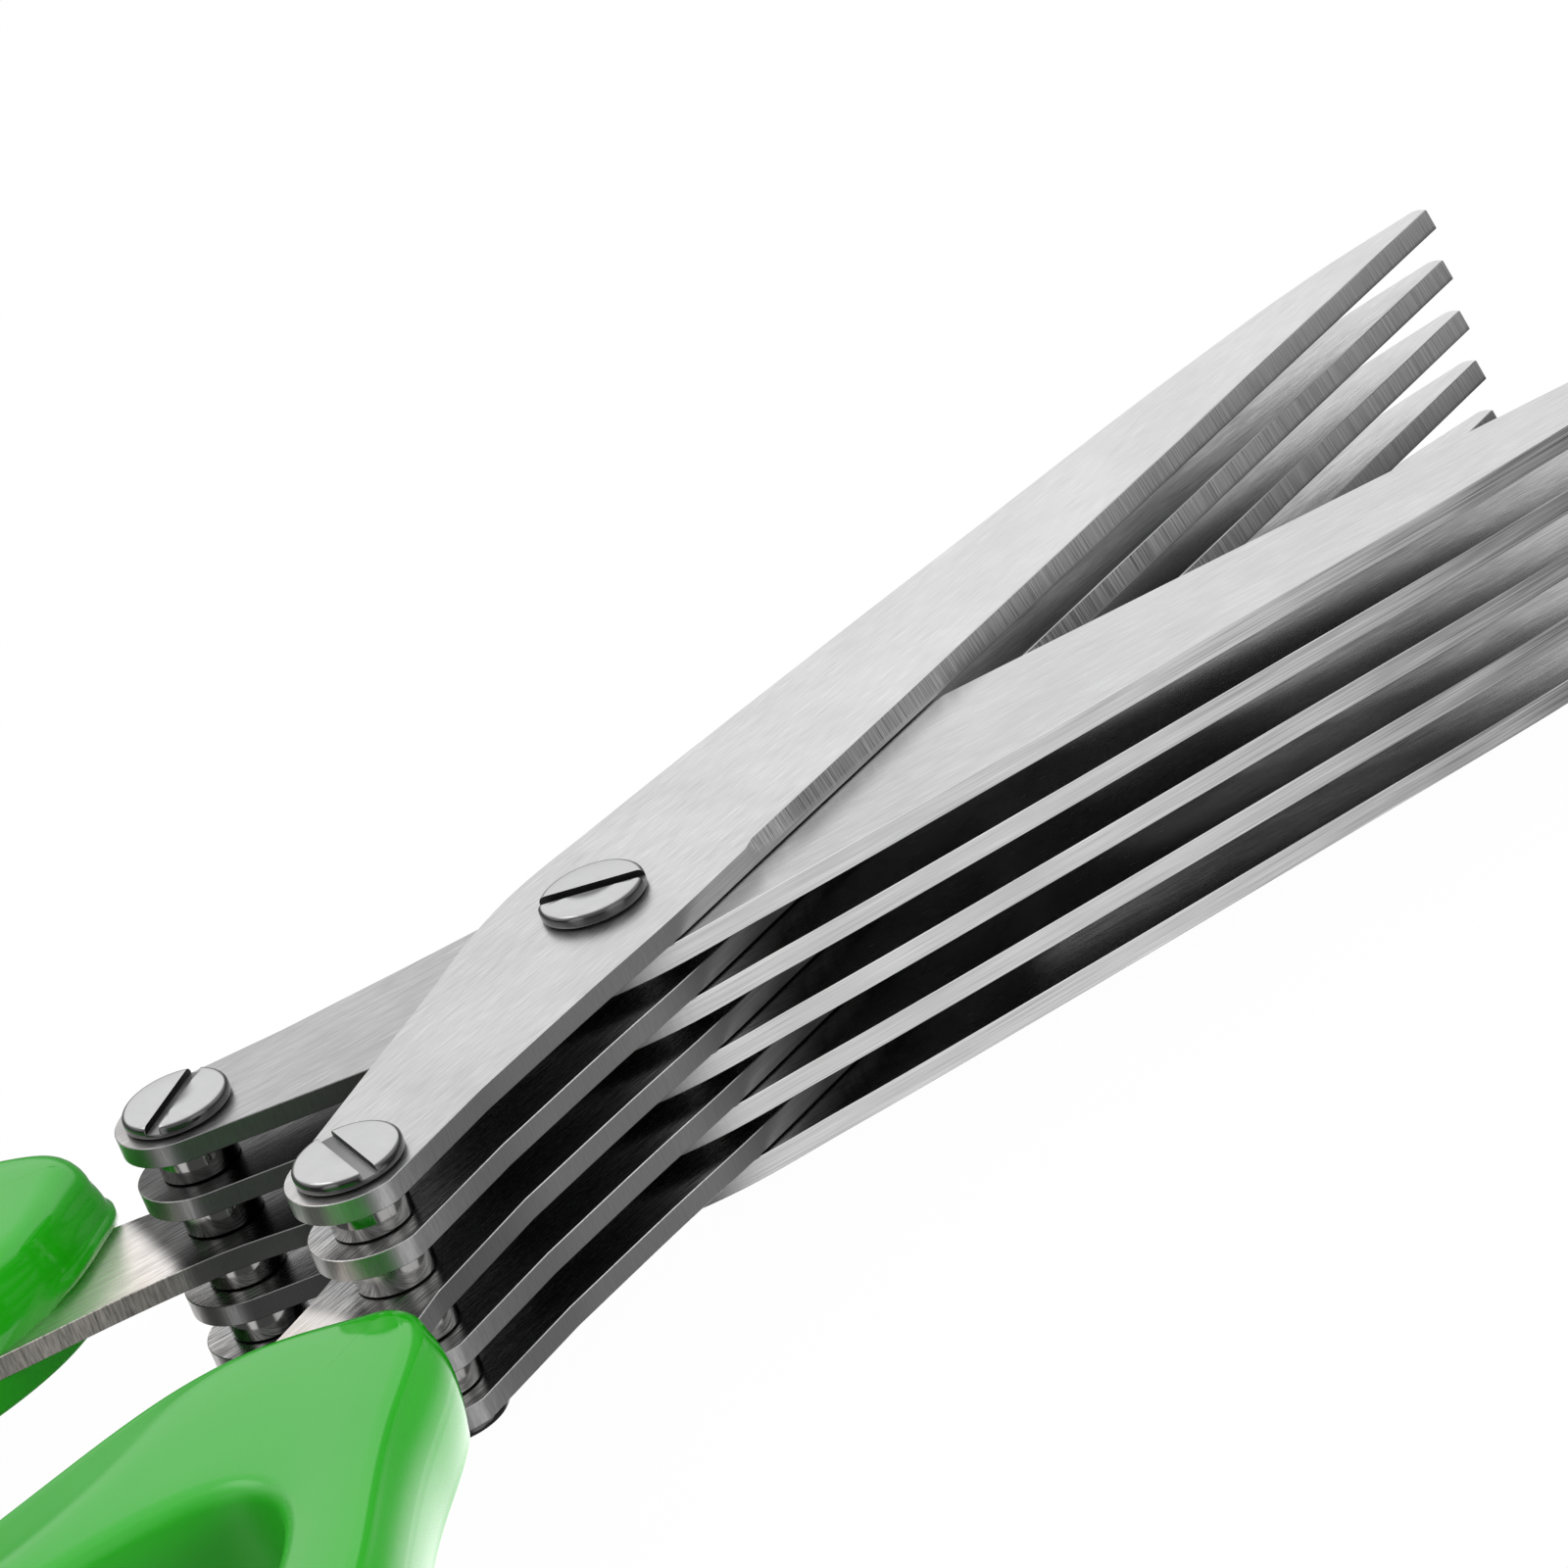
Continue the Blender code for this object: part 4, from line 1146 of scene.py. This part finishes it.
@dataclass(frozen=True)
class Handles:
    """The two moulded handles."""

    thickness: float = 9.25 * MM
    lift: float = 0.5 * MM
    length: float = 72.2 * MM
    depth: float = 39.9 * MM
    inner: float = 1.6 * MM
    nose: float = 33.4 * MM
    shoulder: float = 1.0 * MM
    nose_shoulder: float = 2.4 * MM
    lower_edge: float = 0.7 * MM
    flash: float = 0.25 * MM
    flash_height: float = 0.45 * MM
    flash_slope: float = 0.15 * MM
    flash_back: float = 7.5 * MM
    flash_out: float = 17.0 * MM
    flash_fades: tuple = (2.0 * MM, 1.5 * MM)
    bulge: float = 0.5 * MM
    crown: float = 0.12 * MM
    strip_width: float = 4.4 * MM
    strip_drop: float = 0.6 * MM
    hole_length: float = 46.5 * MM
    hole_width: float = 23.2 * MM
    hole_tilt: float = 8.0
    hole_roll: float = 1.3 * MM
    hole_centre: tuple = (0.573, 0.514)
    hole_egg: float = 0.20
    throat: float = 2.0 * MM
    steps: int = 12
    spread_share: float = 0.35
    strip_shoulder_share: float = 0.6
    # Back along the length, out across the depth, the strip's share and the nose shoulder's share
    shares: tuple = (
        (-0.003, 0.305, 0.0, 0.9), (0.002, 0.268, 0.0, 1.0), (0.018, 0.238, 0.0, 0.9),
        (0.056, 0.168, 0.0, 0.6), (0.101, 0.109, 0.0, 0.3), (0.166, 0.063, 0.2, 0.1),
        (0.242, 0.038, 0.7, 0.0), (0.350, 0.022, 1.0, 0.0), (0.510, 0.000, 1.0, 0.0),
        (0.675, 0.015, 1.0, 0.0), (0.825, 0.085, 0.9, 0.0), (0.940, 0.240, 0.5, 0.0),
        (1.000, 0.470, 0.1, 0.0), (0.980, 0.700, 0.0, 0.0), (0.895, 0.870, 0.0, 0.0),
        (0.765, 0.970, 0.0, 0.0), (0.605, 1.000, 0.0, 0.0), (0.440, 0.922, 0.0, 0.0),
        (0.299, 0.778, 0.0, 0.0), (0.209, 0.641, 0.0, 0.0), (0.125, 0.522, 0.0, 0.0),
        (0.047, 0.430, 0.0, 0.1), (0.005, 0.360, 0.0, 0.5),
    )

    def spread_over(self, back: Array | float, out: Array | float) -> Array:
        """Points in the plan, from their shares of the length and of the depth."""
        return np.array([-self.nose - back * self.length, -self.inner - out * self.depth]).T

    def outline(self) -> tuple[Array, Array, Array]:
        """The widest outline, and the shares of the strip and of the nose's shoulder along it."""
        shares = np.array(self.shares)
        plan = self.spread_over(*shares[:, :2].T)
        loop = spline(np.column_stack([plan, shares[:, 2:]]), self.steps, True)
        loop = evened(loop, self.spread_share * self.steps)
        strip, nose = np.clip(loop[:, 2:], 0.0, 1.0).T
        return loop[:, :2], strip, nose

    def hole(self, outline: Array) -> Array:
        """The finger hole: an egg, narrower towards the nose, with one point facing each of the outline's.

        Along its axis a point lies at half the length times cos t, and across it at half the width times
        (1 - egg cos t) sin t.
        """
        centre = self.spread_over(*self.hole_centre)
        axes = np.stack([polar(1, self.hole_tilt), polar(1, self.hole_tilt + 90)])
        reach = (outline - centre) @ axes.T
        turn = np.arctan2(reach[:, 1] / self.depth, reach[:, 0] / self.length)
        along = self.hole_length / 2 * np.cos(turn)
        across = self.hole_width / 2 * (1 - self.hole_egg * np.cos(turn)) * np.sin(turn)
        return centre + np.column_stack([along, across]) @ axes

    def wall(self, outline: Array, edge: Array | float, strip: Array, flash: float) -> list[Array]:
        """One half of the outer wall, from its widest line to its face.

        It leans in as the square of its rise, turns over a rounded edge and ends in the strip's slope.

        Args:
            outline: The widest line.
            edge: The rounded edge's radius.
            strip: The strip's share.
            flash: How far the lip at the joint with the tang stands out.

        Returns:
            Rings of points, above the handle's middle.
        """
        inward = left_normals(outline)
        half, drop = self.thickness / 2, self.strip_drop * strip
        x, y = outline.T
        fin = np.clip((x + self.nose + self.flash_back) / self.flash_fades[0], 0, 1)
        fin *= np.clip((y + self.flash_out) / self.flash_fades[1], 0, 1)
        high = self.flash_height
        sections = [(-flash * fin, 0.0), (-flash * fin, high - self.flash_slope), (0.0, high)]
        for rise in np.linspace(0.4, 1, 5)[:-1]:
            sections.append((self.bulge * rise**2, rise * (half - edge - drop)))
        for turn in np.radians(np.linspace(0, 90, 9)[:-1]):
            lean, fall = edge * (1 - np.cos(turn)), edge * (1 - np.sin(turn))
            sections.append((self.bulge + lean, half - drop - fall))
        for share in np.linspace(0, 1, 5):
            width = self.bulge + edge + self.strip_width * strip * share
            sections.append((width, half - drop * (1 - share)))
        level = np.zeros(len(outline))
        return [np.column_stack([outline + inward * (i + level)[:, None], h + level]) for i, h in sections]

    def face(self, rim: Array, hole: Array) -> list[Array]:
        """A face from its rim in: crowned as a parabola, then rolled over into the finger hole."""
        half = self.thickness / 2
        outward = left_normals(hole)
        start = hole - outward * self.hole_roll
        rings = []
        for share in np.linspace(0, 1, 9)[1:-1]:
            ring = rim[:, :2] * (1 - share) + start * share
            height = half + 4 * self.crown * share * (1 - share)
            rings.append(np.column_stack([ring, np.full(len(hole), height)]))
        for turn in np.radians(np.linspace(0, 90, 9)):
            ring = hole - outward * self.hole_roll * (1 - np.sin(turn))
            height = half - self.hole_roll * (1 - np.cos(turn))
            rings.append(np.column_stack([ring, np.full(len(hole), height)]))
        return rings

    def mesh(self, name: str, up: int) -> bpy.types.Mesh:
        """A handle: its section carried round the finger hole.

        Args:
            name: The mesh's name.
            up: 1, or -1 where the side is turned over.

        Returns:
            The mesh, in the side's own frame.
        """
        outline, strip, nose = self.outline()
        hole = self.hole(outline)
        shoulder = self.shoulder * (1 - self.strip_shoulder_share * strip)
        shoulder += (self.nose_shoulder - self.shoulder) * nose
        flash = self.flash if up < 0 else 0.0
        upper = self.wall(outline, shoulder, strip, flash)
        upper += self.face(upper[-1], hole)
        lower = self.wall(outline, self.lower_edge + 0 * strip, 0 * strip, flash)
        lower += self.face(lower[-1], hole)
        levels = (self.throat, 0.0, -self.throat)
        throat = [np.column_stack([hole, np.full(len(hole), height)]) for height in levels]
        rings = [*upper, *throat, *[ring * (1, 1, -1) for ring in reversed(lower[1:])]]
        grid = (np.array(rings) + (0.0, 0.0, self.lift)) * (1, 1, up)
        faces = ring_faces(len(rings), len(outline), wrap=True)
        mesh = build(name, grid.reshape(-1, 3), faces.tolist(), merge=TURNED_WELD_DISTANCE)
        mesh.set_sharp_from_angle(angle=math.pi)
        self.mark_hollow(mesh, hole)
        return mesh

    def mark_hollow(self, mesh: bpy.types.Mesh, hole: Array) -> None:
        """Marks the wall of the finger hole, by how far each point lies outside the hole's loop.

        Args:
            mesh: The handle's mesh, which gets the attribute.
            hole: The hole's loop.
        """
        spots = np.empty(3 * len(mesh.vertices))
        mesh.vertices.foreach_get("co", spots)
        centre = hole.mean(0)
        across, up = (hole - centre).T
        x, y = (spots.reshape(-1, 3)[:, :2] - centre).T
        limit = np.interp(np.arctan2(y, x), np.arctan2(up, across), np.hypot(across, up), period=2 * np.pi)
        inside = np.clip(1.0 - (np.hypot(x, y) - limit) / self.hole_roll, 0.0, 1.0)
        mesh.attributes.new("hollow", "FLOAT", "POINT").data.foreach_set("value", inside.astype(np.float32))

    def add(self, shop: Workshop, sides: list[Side]) -> None:
        """Puts both handles in.

        Args:
            shop: Where the finishes are.
            sides: The two sides.
        """
        for side in sides:
            mesh = self.mesh("handle", -1 if side.flipped else 1)
            node = f"handle_{side.name}"
            shop.put(f"moulded_{node}", mesh, side.matrix(), side.body, Slot.HANDLE, node)


class Studio:
    """The camera, the light and the white surroundings."""

    RIGHT = (0.75254455, -0.57097336, -0.32812517)
    DOWN = (-0.50437459, -0.17936624, -0.84465024)
    AHEAD = (0.42341820, 0.80113493, -0.42296554)
    PLACE = (-0.183094, -0.375615, 0.217809)
    LENS = 169.950
    SENSOR_WIDTH = 36.0

    # The far side of the studio, which is the bright one
    FAR_SIDE = (0.383, 0.724, 0.574)
    # Its soft lights: whether the direction is taken squat, the middle, the cosines of the angle from it
    # where the light starts and where it is full, and its strength
    LOBES = (
        (True, (0.139, -0.990, 0.0), 0.905, 0.972, 0.90),
        (True, (-0.970, -0.242, 0.0), 0.952, 0.978, 1.10),
        (False, (0.507, -0.751, -0.423), 0.984, 0.996, 0.80),
        (False, (0.80, -0.59, 0.10), 0.80, 0.97, 0.10),
    )
    SQUAT = (1.0, 1.0, 0.35)
    STRENGTH = 0.95

    FLOOR_SIZE = 3.0
    FLOOR_DROP = 0.6 * MM
    # How much of what the camera sees of the floor is plain white
    FLOOR_WHITE = 0.98

    def camera(self) -> None:
        """The camera, at the photograph's place and angle."""
        data = bpy.data.cameras.new("view")
        data.lens = self.LENS
        data.sensor_width = self.SENSOR_WIDTH
        data.clip_start = 0.01
        camera = bpy.data.objects.new("view", data)
        rows = [[self.RIGHT[i], -self.DOWN[i], -self.AHEAD[i], self.PLACE[i]] for i in range(3)]
        camera.matrix_world = Matrix([*rows, [0, 0, 0, 1]])
        bpy.context.scene.camera = show(camera)

    def world(self) -> None:
        """White to the camera, and a soft studio to everything else: bright above, dim below."""
        world = bpy.data.worlds.new("studio")
        bpy.context.scene.world = world
        world.use_nodes = True
        nodes = Nodes(world.node_tree)
        world.node_tree.nodes.clear()
        direction = nodes.add("ShaderNodeTexCoord").outputs["Generated"]
        rise = nodes.add("ShaderNodeSeparateXYZ", None, Vector=direction).outputs["Z"]
        far = nodes.vector_math("DOT_PRODUCT", direction, self.FAR_SIDE).outputs["Value"]
        dim = nodes.ramp(rise, 0.08, 0.50, 0.14, 0.62)
        low = nodes.ramp(rise, -0.32, -0.58, 0.0, 1.8)
        back = nodes.math("ADD", low, nodes.ramp(rise, 0.18, 0.38, 0.30, 1.25))
        level = nodes.mix_value(nodes.ramp(far, -0.08, 0.30), dim, back)
        squat = nodes.vector_math("MULTIPLY", direction, self.SQUAT).outputs[0]
        squat = nodes.vector_math("NORMALIZE", squat).outputs[0]
        for is_squat, middle, start, full, strength in self.LOBES:
            unit = tuple(Vector(middle).normalized())
            near = nodes.vector_math("DOT_PRODUCT", squat if is_squat else direction, unit).outputs["Value"]
            level = nodes.math("ADD", level, nodes.ramp(near, start, full, 0.0, strength))
        studio = nodes.add("ShaderNodeBackground", None, Color=nodes.neutral(level), Strength=self.STRENGTH)
        white = nodes.add("ShaderNodeBackground", None, Color=grey(1.0), Strength=1.0)
        mixed = nodes.to_camera(1.0, studio.outputs[0], white.outputs[0])
        nodes.add("ShaderNodeOutputWorld", None, Surface=mixed)

    def floor(self) -> None:
        """A plain pale floor, white to the camera apart from the object's shadow."""
        size, low = self.FLOOR_SIZE, -self.FLOOR_DROP
        corners = [(-size, -size, low), (size, -size, low), (size, size, low), (-size, size, low)]
        mesh = bpy.data.meshes.new("floor")
        mesh.from_pydata(corners, [], [(0, 1, 2, 3)])
        material, nodes, shader = new_material("pale_floor")
        nodes.wire(shader, Base_Color=grey(0.86), Roughness=0.9)
        white = nodes.add("ShaderNodeEmission", None, Color=grey(1.0), Strength=1.0)
        mixed = nodes.to_camera(self.FLOOR_WHITE, shader.outputs[0], white.outputs[0])
        nodes.wire(material.node_tree.nodes["Material Output"], Surface=mixed)
        mesh.materials.append(material)
        floor = show(bpy.data.objects.new("floor", mesh))
        floor.visible_glossy = False

    def lamp(self, name: str, place: tuple, aim: tuple, size: float, power: float, mirrored: bool) -> None:
        """A square soft lamp.

        Args:
            name: Its name.
            place: Where it stands.
            aim: What it points at.
            size: Its edge.
            power: Its power in watts.
            mirrored: Whether glossy faces mirror it.
        """
        data = bpy.data.lights.new(name, "AREA")
        data.shape = "SQUARE"
        data.size = size
        data.energy = power
        lamp = show(bpy.data.objects.new(name, data))
        lamp.location = place
        lamp.visible_glossy = mirrored
        lamp.rotation_euler = (Vector(aim) - Vector(place)).to_track_quat("-Z", "Y").to_euler()

    def build(self) -> None:
        """Sets everything up."""
        bpy.context.scene.view_settings.view_transform = "Standard"
        self.camera()
        self.world()
        self.floor()
        self.lamp("key", (-0.5, 0.35, 0.8), (0.0, 0.0, 0.0), 0.5, 1.4, True)
        self.lamp("fill", (-0.06, -0.90, 0.13), (-0.06, -0.02, 0.01), 0.3, 3.8, False)
        LOG.info("studio ready")


def plain(box: tuple) -> list[list[float]]:
    """A box as plain lists of numbers."""
    return [[float(value) for value in corner] for corner in box]


def main() -> None:
    """Builds every sub-assembly in order."""
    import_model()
    stack = Stack()
    sides = [Side("a", HALF_OPENING, False, stack.middle), Side("b", -HALF_OPENING, True, stack.middle)]
    blades = Blades()
    shop = Workshop(stack, blades.ground_angle())
    blades.add(shop, sides)
    Pins().add(shop, sides, blades)
    Handles().add(shop, sides)
    Studio().build()


if __name__ == "__main__":
    main()
